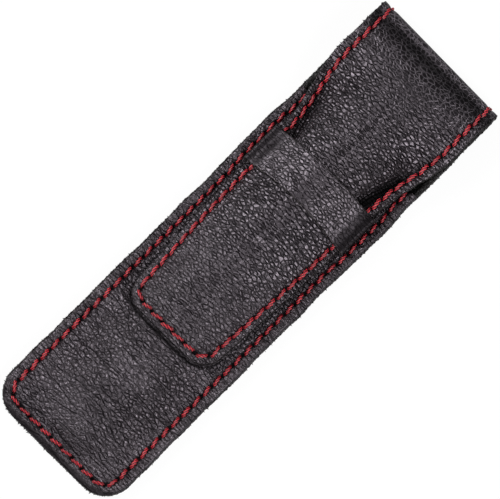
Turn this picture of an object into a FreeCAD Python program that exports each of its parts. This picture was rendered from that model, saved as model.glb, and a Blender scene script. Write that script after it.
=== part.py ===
import FreeCAD, Part
import math
import os

import Sketcher

# A leather sleeve for one pen, lying on its back with its long flap closed.
# X runs along the sleeve towards the fold, Y across it and Z up, away from the table.
# The origin is on the table under the middle of the sleeve, and sizes are in millimetres.

os.makedirs("parts", exist_ok=True)

SIZES = {
    # The whole sleeve
    "length": 160.0,
    "width": 46.9,
    "fold_draw": 0.35,
    "corner_radius": 9.3,
    # Thickness of the leathers and of the glue between them
    "outer_leather": 1.2,
    "lining_leather": 0.6,
    "front_leather": 1.4,
    "strap_leather": 1.2,
    "glue_line": 0.05,
    # The bend at the top, outside radius
    "fold_radius": 4.5,
    # The domed pocket: its mouth is counted from the fold, its dome from the closed end and the edge
    "mouth_drop": 34.0,
    "dome_start": 6.5,
    "dome_full": 32.0,
    "dome_inset": 5.15,
    "dome_flange": 0.7,
    "crown_radius": 10.0,
    "foot_radius": 8.0,
    "flank_angle": 34.0,
    # The flap and its tongue, counted from the fold
    "flap_gap": 0.6,
    "flap_length": 112.9,
    "tongue_corner": 6.5,
    "tongue_taper": 1.9,
    "tongue_clearance": 0.25,
    "shoulder_margin": 1.0,
    "shoulder_drop": 19.0,
    # The keeper strap, its upper edge counted from the fold and its legs from the dome's foot
    "strap_drop": 47.5,
    "strap_width": 13.3,
    "strap_gap": 0.55,
    "strap_side": 0.35,
    "strap_bend": 1.0,
    "strap_tab_margin": 0.6,
    "slit_clearance": 0.05,
    # The seams
    "seam_inset": 3.4,
    "seam_corner": 5.0,
    "seam_bow": 0.55,
    "tongue_seam_inset": 2.3,
    "fold_seam_inset": 2.95,
    "stitch_pitch": 4.18,
    "pocket_stitch": 2.8,
    "flap_stitch": 3.4,
    "thread_radius": 0.45,
    "thread_proud": 0.25,
    "lining_thread_proud": 0.15,
    # Added to every cut so that it passes its face
    "overrun": 2.0,
}

# Steps of the dome's closed end: share of the way to full height, share of the flank angle.
END_STEP_SHARES = ((0.0, 0.06), (0.2, 0.42), (0.5, 0.76), (1.0, 1.0))
# Steps of the flap from strap to fold: share of the way, share of the lift, share of the flank angle.
FLAP_STEP_SHARES = ((0.0, 0.0, 1.0), (0.32, 0.26, 0.89), (0.66, 0.8, 0.5), (1.0, 1.0, 0.02))

doc = FreeCAD.newDocument("pen_sleeve")
sheet = doc.addObject("Spreadsheet::Sheet", "Sizes")
for row, (alias, value) in enumerate(SIZES.items(), start=1):
    sheet.set(f"A{row}", alias)
    sheet.set(f"B{row}", str(value))
    sheet.setAlias(f"B{row}", alias)
doc.recompute()


def cell(alias):
    """The text that names one size in an expression."""
    return f"Sizes.{alias}"


def along(place):
    """A place counted from the closed end, as X in the sleeve's frame."""
    return f"({place} - {cell('length')} / 2)"


def number(text):
    """The present value of an expression."""
    return float(sheet.evalExpression(text.replace("Sizes.", "")))


# Levels and places that several pieces share
HALF = f"({cell('width')} / 2)"
FOLD_HALF = f"({HALF} - {cell('fold_draw')})"
DOME_HALF = f"({HALF} - {cell('dome_inset')})"
CLOSED_END = along("0")
FOLD_X = along(f"({cell('length')} - {cell('fold_radius')})")
LINING_FLOOR = f"({cell('outer_leather')} + {cell('glue_line')})"
POCKET_FLOOR = f"({LINING_FLOOR} + {cell('lining_leather')})"
FLANGE_TOP = f"({POCKET_FLOOR} + {cell('front_leather')})"
# Heights above the pocket's inner skin, measured square to it
FLAP_LINING_LOW = f"({cell('front_leather')} + {cell('flap_gap')})"
FLAP_LINING_HIGH = f"({FLAP_LINING_LOW} + {cell('lining_leather')})"
FLAP_OUTER_LOW = f"({FLAP_LINING_HIGH} + {cell('glue_line')})"
FLAP_OUTER_HIGH = f"({FLAP_OUTER_LOW} + {cell('outer_leather')})"
STRAP_LOW = f"({FLAP_OUTER_HIGH} + {cell('strap_gap')})"
STRAP_HIGH = f"({STRAP_LOW} + {cell('strap_leather')})"
# How far the flap's foot climbs from the pocket's flange to the fold
FLAP_LIFT = f"(2 * {cell('fold_radius')} - {cell('outer_leather')} - {cell('glue_line')}"
FLAP_LIFT += f" - {cell('lining_leather')} - {FLAP_LINING_LOW} - {POCKET_FLOOR})"
# The strap's legs, and the tongue that passes between them
STRAP_LEG = f"({DOME_HALF} + {cell('strap_side')})"
STRAP_OUTER = f"({STRAP_LEG} + {cell('strap_leather')})"
TONGUE_STRAP_HALF = f"({STRAP_LEG} - {cell('tongue_clearance')})"
TONGUE_TIP_HALF = f"({TONGUE_STRAP_HALF} - {cell('tongue_taper')})"
# Places along the sleeve, counted from the closed end
STRAP_END = f"({cell('length')} - {cell('strap_drop')})"
STRAP_START = f"({STRAP_END} - {cell('strap_width')})"
SHOULDER_START = f"({STRAP_END} + {cell('shoulder_margin')})"
SHOULDER_END = f"({cell('length')} - {cell('shoulder_drop')})"
TONGUE_TIP = f"({cell('length')} - {cell('flap_length')})"
POCKET_MOUTH = f"({cell('length')} - {cell('mouth_drop')})"
# How deep the middle of a stitch lies in the leather
THREAD_SINK = f"({cell('thread_radius')} - {cell('thread_proud')})"
LINING_THREAD_SINK = f"({cell('thread_radius')} - {cell('lining_thread_proud')})"


def new_body(label):
    """A body of its own for one piece."""
    body = doc.addObject("PartDesign::Body", label)
    body.Label = label
    body.Placement = FreeCAD.Placement()
    return body


def new_sketch(body, name, role, offset="0"):
    """A sketch on one of the body's own planes, moved along that plane's normal."""
    sketch = body.newObject("Sketcher::SketchObject", name)
    plane = next(item for item in body.Origin.OriginFeatures if item.Role == role)
    sketch.AttachmentSupport = [(plane, "")]
    sketch.MapMode = "FlatFace"
    if offset != "0":
        sketch.setExpression("AttachmentOffset.Base.z", offset)
    return sketch


def place_point(axis, edge, end, text):
    """The constraint that holds one end of an edge at a coordinate."""
    if text == "0":
        return Sketcher.Constraint("PointOnObject", edge, end, -2 if axis == "X" else -1)
    return Sketcher.Constraint("Distance" + axis, -1, 1, edge, end, number(text))


def draw_loop(sketch, points, arcs=None):
    """A closed loop of straight edges and arcs, every size of it bound to the sheet.

    arcs gives, for the number of an edge, its centre, its radius and whether it turns left.
    """
    arcs = arcs or {}
    first = sketch.GeometryCount
    places = [FreeCAD.Vector(number(x), number(y), 0) for x, y in points]
    starts = []
    ends = []
    for index, start in enumerate(places):
        end = places[(index + 1) % len(places)]
        if index not in arcs:
            sketch.addGeometry(Part.LineSegment(start, end))
            starts.append(1)
            ends.append(2)
            continue
        (centre_x, centre_y), radius, left = arcs[index]
        centre = FreeCAD.Vector(number(centre_x), number(centre_y), 0)
        low, high = (start, end) if left else (end, start)
        circle = Part.Circle(centre, FreeCAD.Vector(0, 0, 1), number(radius))
        angles = [math.atan2(spot.y - centre.y, spot.x - centre.x) for spot in (low, high)]
        sketch.addGeometry(Part.ArcOfCircle(circle, angles[0], angles[1]))
        starts.append(1 if left else 2)
        ends.append(2 if left else 1)
    constraints = []
    bindings = []
    for index, (x, y) in enumerate(points):
        edge = first + index
        following = (index + 1) % len(points)
        joint = Sketcher.Constraint("Coincident", edge, ends[index], first + following, starts[following])
        constraints.append(joint)
        for axis, text in (("X", x), ("Y", y)):
            if text != "0":
                bindings.append((len(constraints), text))
            constraints.append(place_point(axis, edge, starts[index], text))
        if index in arcs:
            bindings.append((len(constraints), arcs[index][1]))
            constraints.append(Sketcher.Constraint("Radius", edge, number(arcs[index][1])))
    before = sketch.ConstraintCount
    sketch.addConstraint(constraints)
    for index, text in bindings:
        sketch.setExpression(f"Constraints[{before + index}]", text)


def rectangle(left, right, low, high):
    """The corners of a rectangle."""
    return [(left, low), (right, low), (right, high), (left, high)]


def minus(text):
    """The same length on the other side of the middle."""
    return "0" if text == "0" else f"-({text})"


def pad(body, name, sketch, length, symmetric=False):
    """Leather as thick or as long as a size says."""
    feature = body.newObject("PartDesign::Pad", name)
    feature.Profile = sketch
    feature.setExpression("Length", length)
    if symmetric:
        feature.SideType = "Symmetric"
    return feature


def pocket(body, name, sketch, depth, upwards=False):
    """A cut from the sketch's plane."""
    feature = body.newObject("PartDesign::Pocket", name)
    feature.Profile = sketch
    feature.Reversed = upwards
    feature.setExpression("Length", depth)
    return feature


def loft(body, name, sketches):
    """A smooth skin through sections along the sleeve."""
    feature = body.newObject("PartDesign::AdditiveLoft", name)
    feature.Profile = sketches[0]
    feature.Sections = sketches[1:]
    return feature


def dome_chain(base, angle, height):
    """The right half of the dome's line, crown to foot, at a height above the inner skin.

    Returns the crown arc's centre and radius, the flank's two ends, and the foot arc's centre and radius.
    """
    crown_radius = f"({cell('crown_radius')} + {height})"
    foot_radius = f"({cell('foot_radius')} - {height})"
    both = f"({cell('crown_radius')} + {cell('foot_radius')})"
    run = f"({DOME_HALF} - {both} * sin({angle}))"
    foot_level = f"({base} + {cell('foot_radius')})"
    crown_level = f"({foot_level} - {both} * cos({angle}) + {run} * tan({angle}))"
    top = (f"({crown_radius} * sin({angle}))", f"({crown_level} + {crown_radius} * cos({angle}))")
    low_y = f"({DOME_HALF} - {foot_radius} * sin({angle}))"
    low = (low_y, f"({foot_level} - {foot_radius} * cos({angle}))")
    return ("0", crown_level), crown_radius, top, low, (DOME_HALF, foot_level), foot_radius


def mirrored(point):
    """The same point on the other side of the sleeve's middle plane."""
    return minus(point[0]), point[1]


def draw_band(sketch, base, angle, low, high, reach):
    """One layer of leather over the dome, between two heights, with flat edges out to the reach."""
    crown, crown_high, top_high, end_high, foot, foot_high = dome_chain(base, angle, high)
    crown_low, top_low, end_low, _, foot_low = dome_chain(base, angle, low)[1:]
    high_level = f"({base} + {high})"
    low_level = f"({base} + {low})"
    right_high = [top_high, end_high, (DOME_HALF, high_level), (reach, high_level)]
    right_low = [(reach, low_level), (DOME_HALF, low_level), end_low, top_low]
    left_low = [mirrored(point) for point in reversed(right_low)]
    left_high = [mirrored(point) for point in reversed(right_high)]
    points = left_high + right_high + right_low + left_low
    arcs = {
        1: (mirrored(foot), foot_high, True),
        3: (crown, crown_high, False),
        5: (foot, foot_high, True),
        9: (foot, foot_low, False),
        11: (crown, crown_low, True),
        13: (mirrored(foot), foot_low, False),
    }
    draw_loop(sketch, points, arcs)


def sleeve_outline():
    """The back's outline: round corners at the closed end, cut straight where the fold begins."""
    radius = cell("corner_radius")
    corner_x = f"({CLOSED_END} + {radius})"
    corner_y = f"({HALF} - {radius})"
    points = [
        (FOLD_X, FOLD_HALF),
        (corner_x, HALF),
        (CLOSED_END, corner_y),
        (CLOSED_END, minus(corner_y)),
        (corner_x, minus(HALF)),
        (FOLD_X, minus(FOLD_HALF)),
    ]
    arcs = {
        1: ((corner_x, corner_y), radius, True),
        3: ((corner_x, minus(corner_y)), radius, True),
    }
    return points, arcs


def flap_side(tongue_inset, fold_inset):
    """One side of the flap from its tip to the fold, drawn in by an inset at tongue and fold.

    Returns the points from the tip's middle on, and the arcs between them.
    """
    tip = along(f"({TONGUE_TIP} + {tongue_inset})")
    corner = f"({cell('tongue_corner')} - {tongue_inset})"
    tip_half = f"({TONGUE_TIP_HALF} - {tongue_inset})"
    strap_half = f"({TONGUE_STRAP_HALF} - {tongue_inset})"
    fold_half = f"({FOLD_HALF} - {fold_inset})"
    corner_x = f"({tip} + {corner})"
    corner_y = f"({tip_half} - {corner})"
    start = along(SHOULDER_START)
    end = along(SHOULDER_END)
    step_x = f"({SHOULDER_END} - {SHOULDER_START})"
    step_y = f"({fold_half} - {strap_half})"
    sweep = f"(({step_x}^2 + {step_y}^2) / (4 * {step_y}))"
    middle = (f"(({start} + {end}) / 2)", f"(({strap_half} + {fold_half}) / 2)")
    points = [
        (tip, "0"),
        (tip, corner_y),
        (corner_x, tip_half),
        (start, strap_half),
        middle,
        (end, fold_half),
        (FOLD_X, fold_half),
    ]
    arcs = {
        1: ((corner_x, corner_y), corner, False),
        3: ((start, f"({strap_half} + {sweep})"), sweep, True),
        4: ((end, f"({fold_half} - {sweep})"), sweep, False),
    }
    return points, arcs


def draw_flap_outline(sketch):
    """The flap's whole outline, run past the fold, inside a frame that holds all that is cut away."""
    side, side_arcs = flap_side("0", "0")
    past_fold = f"({FOLD_X} + {cell('overrun')})"
    upper = side[1:-1] + [(past_fold, FOLD_HALF)]
    lower = [(x, minus(y)) for x, y in reversed(upper)]
    points = upper + lower
    last = len(points) - 2
    arcs = {}
    for edge, (centre, radius, left) in side_arcs.items():
        arcs[edge - 1] = (centre, radius, left)
        arcs[last - (edge - 1)] = ((centre[0], minus(centre[1])), radius, left)
    draw_loop(sketch, points, arcs)
    outside = f"({HALF} + 2 * {cell('overrun')})"
    frame_end = f"({past_fold} + {cell('overrun')})"
    draw_loop(sketch, rectangle(CLOSED_END, frame_end, minus(outside), outside))


def make_back_panel():
    """The flat back."""
    body = new_body("back_panel")
    sketch = new_sketch(body, "back_outline", "XY_Plane")
    draw_loop(sketch, *sleeve_outline())
    pad(body, "back_leather", sketch, cell("outer_leather"))
    return body


def draw_strap_windows(sketch, inner, outer):
    """The two openings that the strap's ends take, one each side."""
    left = along(f"({STRAP_START} - {cell('slit_clearance')})")
    right = along(f"({STRAP_END} + {cell('slit_clearance')})")
    draw_loop(sketch, rectangle(left, right, inner, outer))
    draw_loop(sketch, rectangle(left, right, minus(outer), minus(inner)))


def make_back_lining():
    """The lining of the back, notched where the strap's tabs lie between the leathers."""
    body = new_body("back_lining")
    sketch = new_sketch(body, "lining_outline", "XY_Plane", LINING_FLOOR)
    draw_loop(sketch, *sleeve_outline())
    pad(body, "lining_sheet", sketch, cell("lining_leather"))
    notch_level = f"({POCKET_FLOOR} + {cell('overrun')})"
    notches = new_sketch(body, "tab_notches", "XY_Plane", notch_level)
    inner = f"({STRAP_LEG} - {cell('slit_clearance')})"
    draw_strap_windows(notches, inner, f"({HALF} + {cell('overrun')})")
    pocket(body, "notch_cut", notches, f"({cell('lining_leather')} + 2 * {cell('overrun')})")
    return body


def make_front_panel():
    """The pocket's front: a flat flange on three sides and a dome that is open at the mouth."""
    body = new_body("front_panel")
    flange = new_sketch(body, "flange_outline", "XY_Plane", POCKET_FLOOR)
    radius = cell("corner_radius")
    corner_x = f"({CLOSED_END} + {radius})"
    corner_y = f"({HALF} - {radius})"
    mouth = along(POCKET_MOUTH)
    mouth_share = f"(({mouth} - {corner_x}) / ({FOLD_X} - {corner_x}))"
    mouth_half = f"({HALF} - {cell('fold_draw')} * {mouth_share})"
    dome_x = along(cell("dome_start"))
    dome_y = DOME_HALF
    points = [
        (mouth, dome_y),
        (mouth, mouth_half),
        (corner_x, HALF),
        (CLOSED_END, corner_y),
        (CLOSED_END, minus(corner_y)),
        (corner_x, minus(HALF)),
        (mouth, minus(mouth_half)),
        (mouth, minus(dome_y)),
        (dome_x, minus(dome_y)),
        (dome_x, dome_y),
    ]
    arcs = {
        2: ((corner_x, corner_y), radius, True),
        4: ((corner_x, minus(corner_y)), radius, True),
    }
    draw_loop(flange, points, arcs)
    pad(body, "flange", flange, cell("front_leather"))
    reach = f"({DOME_HALF} + {cell('dome_flange')})"
    sections = []
    for place_share, angle_share in END_STEP_SHARES:
        place = f"({cell('dome_start')} + {place_share} * ({cell('dome_full')} - {cell('dome_start')}))"
        section = new_sketch(body, f"end_section_{len(sections)}", "YZ_Plane", along(place))
        angle = f"({angle_share} * {cell('flank_angle')})"
        draw_band(section, POCKET_FLOOR, angle, "0", cell("front_leather"), reach)
        sections.append(section)
    loft(body, "closed_end", sections)
    section = new_sketch(body, "dome_section", "YZ_Plane", along(cell("dome_full")))
    draw_band(section, POCKET_FLOOR, cell("flank_angle"), "0", cell("front_leather"), reach)
    pad(body, "dome", section, f"({POCKET_MOUTH} - {cell('dome_full')})")
    slit_level = f"({FLANGE_TOP} + {cell('overrun')})"
    slits = new_sketch(body, "strap_slits", "XY_Plane", slit_level)
    inner = f"({STRAP_LEG} - {cell('slit_clearance')})"
    draw_strap_windows(slits, inner, f"({STRAP_OUTER} + {cell('slit_clearance')})")
    pocket(body, "slit_cut", slits, f"({cell('front_leather')} + 2 * {cell('overrun')})")
    return body


def make_keeper_strap():
    """The strap: over the flap, down through the slits, and out between the leathers as tabs."""
    body = new_body("keeper_strap")
    section = new_sketch(body, "strap_section", "YZ_Plane", along(STRAP_START))
    angle = cell("flank_angle")
    crown, crown_high, top_high, end_high, foot, foot_high = dome_chain(POCKET_FLOOR, angle, STRAP_HIGH)
    crown_low, top_low, end_low, _, foot_low = dome_chain(POCKET_FLOOR, angle, STRAP_LOW)[1:]
    high_level = f"({POCKET_FLOOR} + {STRAP_HIGH})"
    low_level = f"({POCKET_FLOOR} + {STRAP_LOW})"
    bend_y = f"({STRAP_OUTER} - {cell('strap_bend')})"
    bend_level = f"({high_level} - {cell('strap_bend')})"
    tab_end = f"({HALF} - {cell('strap_tab_margin')})"
    right_outer = [
        top_high,
        end_high,
        (DOME_HALF, high_level),
        (bend_y, high_level),
        (STRAP_OUTER, bend_level),
        (STRAP_OUTER, POCKET_FLOOR),
        (tab_end, POCKET_FLOOR),
    ]
    right_inner = [
        (tab_end, LINING_FLOOR),
        (STRAP_LEG, LINING_FLOOR),
        (STRAP_LEG, low_level),
        (DOME_HALF, low_level),
        end_low,
        top_low,
    ]
    left_inner = [mirrored(point) for point in reversed(right_inner)]
    left_outer = [mirrored(point) for point in reversed(right_outer)]
    points = left_outer + right_outer + right_inner + left_inner
    bend = (bend_y, bend_level)
    arcs = {
        2: (mirrored(bend), cell("strap_bend"), False),
        4: (mirrored(foot), foot_high, True),
        6: (crown, crown_high, False),
        8: (foot, foot_high, True),
        10: (bend, cell("strap_bend"), False),
        17: (foot, foot_low, False),
        19: (crown, crown_low, True),
        21: (mirrored(foot), foot_low, False),
    }
    draw_loop(section, points, arcs)
    pad(body, "strap", section, cell("strap_width"))
    return body


def make_fold(label, low, thickness):
    """A half turn of leather about the fold's axis, its lower end at the back's own level."""
    body = new_body(label)
    sketch = new_sketch(body, f"{label}_section", "XZ_Plane")
    axis = (FOLD_X, cell("fold_radius"))
    low_inside = thickness if low == "0" else f"({low} + {thickness})"
    outside = f"({cell('fold_radius')} - {low})"
    inside = f"({cell('fold_radius')} - {low_inside})"
    points = [
        (FOLD_X, low),
        (f"({FOLD_X} + {outside})", cell("fold_radius")),
        (FOLD_X, f"({cell('fold_radius')} + {outside})"),
        (FOLD_X, f"({cell('fold_radius')} + {inside})"),
        (f"({FOLD_X} + {inside})", cell("fold_radius")),
        (FOLD_X, low_inside),
    ]
    arcs = {}
    for edge in (0, 1):
        arcs[edge] = (axis, outside, True)
        arcs[edge + 3] = (axis, inside, False)
    draw_loop(sketch, points, arcs)
    pad(body, f"{label}_bend", sketch, f"(2 * {FOLD_HALF})", symmetric=True)
    return body


def make_flap_layer(label, low, high):
    """One layer of the flap: over the dome as a tongue, then flattening towards the fold."""
    body = new_body(label)
    reach = f"({HALF} + {cell('overrun')})"
    section = new_sketch(body, f"{label}_section", "YZ_Plane", along(TONGUE_TIP))
    draw_band(section, POCKET_FLOOR, cell("flank_angle"), low, high, reach)
    pad(body, f"{label}_tongue", section, f"({SHOULDER_START} - {TONGUE_TIP})")
    start = along(SHOULDER_START)
    sections = []
    for place_share, lift_share, angle_share in FLAP_STEP_SHARES:
        place = f"({start} + {place_share} * ({FOLD_X} - {start}))"
        base = f"({POCKET_FLOOR} + {lift_share} * {FLAP_LIFT})"
        angle = f"({angle_share} * {cell('flank_angle')})"
        section = new_sketch(body, f"{label}_step_{len(sections)}", "YZ_Plane", place)
        draw_band(section, base, angle, low, high, reach)
        sections.append(section)
    loft(body, f"{label}_shoulder", sections)
    outline = new_sketch(body, f"{label}_outline", "XY_Plane")
    draw_flap_outline(outline)
    pocket(body, f"{label}_trim", outline, cell("length"), upwards=True)
    return body


class SeamLine:
    """A line of stitches in plan, on one side of the sleeve, measured along its length."""

    def __init__(self, points, arcs):
        self.edges = []
        places = [FreeCAD.Vector(number(x), number(y), 0) for x, y in points]
        for index in range(len(places) - 1):
            start, end = places[index], places[index + 1]
            if index in arcs:
                (centre_x, centre_y), radius, _ = arcs[index]
                centre = FreeCAD.Vector(number(centre_x), number(centre_y), 0)
                chord = (start + end) / 2 - centre
                middle = centre + chord * (number(radius) / chord.Length)
                self.edges.append(Part.Arc(start, middle, end).toShape())
            else:
                self.edges.append(Part.LineSegment(start, end).toShape())
        self.length = sum(edge.Length for edge in self.edges)

    def point(self, distance):
        """The point at a distance from the start of the line."""
        for edge in self.edges[:-1]:
            if distance <= edge.Length:
                return edge.valueAt(edge.getParameterByLength(distance))
            distance -= edge.Length
        last = self.edges[-1]
        return last.valueAt(last.getParameterByLength(min(distance, last.Length)))

    def stitches(self, pitch, stitch):
        """The two ends of every stitch on both sides, the first one across the middle."""
        spans = []
        middle = self.point(stitch / 2)
        spans.append((FreeCAD.Vector(middle.x, -middle.y, 0), middle))
        count = int((self.length - stitch / 2) / pitch)
        for step in range(1, count + 1):
            ends = [self.point(step * pitch + side * stitch / 2) for side in (-1, 1)]
            spans.append(tuple(ends))
            spans.append(tuple(FreeCAD.Vector(end.x, -end.y, 0) for end in ends))
        return spans


def pocket_seam_line():
    """The pocket's seam: across the closed end, round the corner and along the side to the fold."""
    inset = cell("seam_inset")
    radius = cell("seam_corner")
    end = f"({CLOSED_END} + {inset})"
    side = f"({HALF} - {inset})"
    corner_x = f"({end} + {radius})"
    corner_y = f"({side} - {radius})"
    fold_side = f"({FOLD_HALF} - {cell('fold_seam_inset')})"
    points = [(end, "0"), (end, corner_y), (corner_x, side), (FOLD_X, fold_side)]
    return SeamLine(points, {1: ((corner_x, corner_y), radius, False)})


def bowed(point):
    """A point of the pocket's seam, moved out where the seam goes round the strap's ends."""
    pitch = number(cell("stitch_pitch"))
    centre = number(along(f"({STRAP_START} + {cell('strap_width')} / 2)"))
    reach = number(cell("strap_width")) / 2 + pitch / 2
    way = (reach + pitch - abs(point.x - centre)) / pitch
    way = min(1, max(0, way))
    side = math.copysign(number(cell("seam_bow")) * way * way * (3 - 2 * way), point.y)
    return FreeCAD.Vector(point.x, point.y + side, point.z)


def bar(start, end, radius):
    """One stitch: a short straight length of thread."""
    run = end - start
    return Part.makeCylinder(radius, run.Length, start, run)


def on_surface(shape, point, top, sink):
    """The point of a skin straight above or below a place, moved into the leather by the sink."""
    tall = number(cell("length"))
    foot = FreeCAD.Vector(point.x, point.y, -tall)
    head = FreeCAD.Vector(point.x, point.y, tall)
    box = Part.makeLine(foot, head).common(shape).BoundBox
    level = box.ZMax - sink if top else box.ZMin + sink
    return FreeCAD.Vector(point.x, point.y, level)


def make_thread(label, solids):
    """All the stitches of one seam, as one piece of separate solids."""
    piece = doc.addObject("Part::Feature", label)
    piece.Label = label
    piece.Shape = Part.makeCompound(solids)
    piece.Placement = FreeCAD.Placement()
    return piece


def pocket_spans():
    """The stitches of the pocket's seam in plan, bowed out round the strap's ends."""
    spans = pocket_seam_line().stitches(number(cell("stitch_pitch")), number(cell("pocket_stitch")))
    return [(bowed(start), bowed(end)) for start, end in spans]


def make_pocket_thread():
    """The seam on the pocket's front, and on the lining between the mouth and the fold."""
    radius = number(cell("thread_radius"))
    mouth = number(along(POCKET_MOUTH))
    solids = []
    for start, end in pocket_spans():
        level = FLANGE_TOP if max(start.x, end.x) < mouth - radius else POCKET_FLOOR
        if min(start.x, end.x) < mouth + radius and level == POCKET_FLOOR:
            continue
        lift = FreeCAD.Vector(0, 0, number(f"({level} - {THREAD_SINK})"))
        solids.append(bar(start + lift, end + lift, radius))
    return make_thread("pocket_seam_thread", solids)


def make_back_thread():
    """The same seam on the back, sunk flush with the leather."""
    radius = number(cell("thread_radius"))
    lift = FreeCAD.Vector(0, 0, radius)
    solids = [bar(start + lift, end + lift, radius) for start, end in pocket_spans()]
    return make_thread("back_seam_thread", solids)


def make_flap_thread(label, layer, top, sink):
    """The flap's seam on one of its two faces."""
    radius = number(cell("thread_radius"))
    line = SeamLine(*flap_side(cell("tongue_seam_inset"), cell("fold_seam_inset")))
    solids = []
    for start, end in line.stitches(number(cell("stitch_pitch")), number(cell("flap_stitch"))):
        low = on_surface(layer.Shape, start, top, sink)
        high = on_surface(layer.Shape, end, top, sink)
        solids.append(bar(low, high, radius))
    return make_thread(label, solids)


def make_fold_thread(label, reach):
    """Stitches that bend round the fold, on both sides of the sleeve."""
    radius = number(cell("thread_radius"))
    turn = 180
    count = max(1, round(math.radians(turn) * reach / number(cell("stitch_pitch"))))
    step = turn / count
    sweep = step * number(cell("flap_stitch")) / number(cell("stitch_pitch"))
    side = number(f"({FOLD_HALF} - {cell('fold_seam_inset')})")
    solids = []
    for y in (-side, side):
        axis = FreeCAD.Vector(number(FOLD_X), y, number(cell("fold_radius")))
        for index in range(count):
            centre = axis + FreeCAD.Vector(0, 0, reach)
            rim = Part.makeCircle(radius, centre, FreeCAD.Vector(1, 0, 0))
            disc = Part.Face(Part.Wire(rim))
            disc.rotate(axis, FreeCAD.Vector(0, 1, 0), step * index + (step - sweep) / 2)
            solids.append(disc.revolve(axis, FreeCAD.Vector(0, 1, 0), sweep))
    return make_thread(label, solids)


def check(piece):
    """Stop if a piece's shape is missing or broken."""
    if piece.Shape.isNull() or not piece.Shape.isValid() or not piece.Shape.Solids:
        raise RuntimeError(f"{piece.Label}: no sound shape")


lining_inside = f"({cell('fold_radius')} - {POCKET_FLOOR})"
leathers = [
    make_back_panel(),
    make_back_lining(),
    make_front_panel(),
    make_keeper_strap(),
    make_fold("fold_outer", "0", cell("outer_leather")),
    make_fold("fold_lining", LINING_FLOOR, cell("lining_leather")),
]
flap_outer = make_flap_layer("flap_outer", FLAP_OUTER_LOW, FLAP_OUTER_HIGH)
flap_lining = make_flap_layer("flap_lining", FLAP_LINING_LOW, FLAP_LINING_HIGH)
leathers += [flap_outer, flap_lining]
doc.recompute()
for piece in leathers:
    check(piece)

outer_sink = number(THREAD_SINK)
inner_sink = number(LINING_THREAD_SINK)
threads = [
    make_pocket_thread(),
    make_back_thread(),
    make_flap_thread("flap_seam_thread", flap_outer, True, outer_sink),
    make_flap_thread("flap_lining_thread", flap_lining, False, inner_sink),
    make_fold_thread("fold_seam_thread", number(f"({cell('fold_radius')} - {cell('thread_radius')})")),
    make_fold_thread("fold_lining_thread", number(lining_inside) + inner_sink),
]
doc.recompute()

for item in doc.Objects:
    if "Invalid" in item.State or "Error" in item.State:
        raise RuntimeError(f"{item.Label}: {item.State}")
for piece in leathers + threads:
    check(piece)
for piece in leathers + threads:
    piece.Shape.exportStep(f"parts/{piece.Label}.step")
    box = piece.Shape.BoundBox
    print(f"{piece.Label}: {len(piece.Shape.Solids)} solids, {piece.Shape.Volume:.1f} mm3,"
          f" X {box.XMin:.2f} to {box.XMax:.2f}, Y {box.YMin:.2f} to {box.YMax:.2f},"
          f" Z {box.ZMin:.2f} to {box.ZMax:.2f}")
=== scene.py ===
"""Looks of a leather sleeve for one pen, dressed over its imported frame.

X runs along the sleeve towards the fold, Y across it and Z up from the table. Shapes are worked out
in millimetres in the frame's own axes, and the meshes are written in metres.
"""
import logging
import math
from dataclasses import dataclass, field, replace
from enum import Enum
from functools import cached_property, partial, reduce
from typing import Callable

import bpy
import numpy as np
from mathutils import Matrix, Vector


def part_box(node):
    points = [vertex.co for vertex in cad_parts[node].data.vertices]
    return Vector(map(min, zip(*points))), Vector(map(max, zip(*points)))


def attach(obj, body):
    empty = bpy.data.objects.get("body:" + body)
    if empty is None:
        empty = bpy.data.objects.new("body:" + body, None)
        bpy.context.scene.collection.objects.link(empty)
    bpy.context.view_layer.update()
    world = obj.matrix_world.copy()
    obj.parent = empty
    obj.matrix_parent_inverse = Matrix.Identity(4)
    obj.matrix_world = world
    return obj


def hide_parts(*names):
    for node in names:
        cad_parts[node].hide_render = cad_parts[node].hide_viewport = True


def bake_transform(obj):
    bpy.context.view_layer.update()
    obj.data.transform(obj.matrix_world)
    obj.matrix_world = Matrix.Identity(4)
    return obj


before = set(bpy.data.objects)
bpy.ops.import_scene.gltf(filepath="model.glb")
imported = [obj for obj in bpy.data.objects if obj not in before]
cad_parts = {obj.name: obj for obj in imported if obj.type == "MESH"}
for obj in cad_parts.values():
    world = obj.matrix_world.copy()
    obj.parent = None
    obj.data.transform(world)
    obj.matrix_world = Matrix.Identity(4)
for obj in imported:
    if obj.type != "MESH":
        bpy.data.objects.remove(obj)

Array = np.ndarray
Skin = Callable[[Array, Array], Array]
Span = tuple[float, float]
Sizes = tuple[float, float, float]
Colour = tuple[float, float, float, float]
Socket = bpy.types.NodeSocket
Material = bpy.types.Material
Piece = bpy.types.Object

MM = 0.001
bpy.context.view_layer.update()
LOG = logging.getLogger("pen_sleeve")
QUARTER_TURN = math.pi / 2.0
FULL: Span = (0.0, 1.0)
MIDDLE: Sizes = (0.5, 0.5, 0.5)
# Near black: the colour that painted shade darkens towards.
BLACK: Colour = (0.001, 0.001, 0.001, 1.0)
WHITE: Colour = (1.0, 1.0, 1.0, 1.0)
ACROSS = np.array([1.0, -1.0])
FLIPPED = (slice(None), slice(None, None, -1))


class Body(Enum):
    """Bodies of the frame that pieces ride on."""

    SLEEVE = "sleeve"
    FLAP = "flap"


class Slot(Enum):
    """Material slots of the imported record."""

    OUTER = "outer_leather"
    FRONT = "front_leather"
    STRAP = "strap_leather"
    LINING = "lining_leather"
    THREAD = "thread"


class Side(Enum):
    """The two long sides of the sleeve, as the sign of Y."""

    LEFT = 1.0
    RIGHT = -1.0


class Mark(Enum):
    """Numbers that a mesh holds at its points for the finishes to read."""

    RAW = "raw"
    # Painted shade: needle holes, furrows, folds, shadows and sides away from the light.
    DEEP = "painted_shade"
    PRESSED = "pressed"
    FINE = "fine"
    # Stretched grain over the bend; its dark cell middles are partly painted shade.
    STRETCH = "stretch"
    FOLD_DISTANCE = "fold_distance"
    FOLD_SHARE = "fold_share"
    RIDGE = "ridge"
    END = "end"


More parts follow.
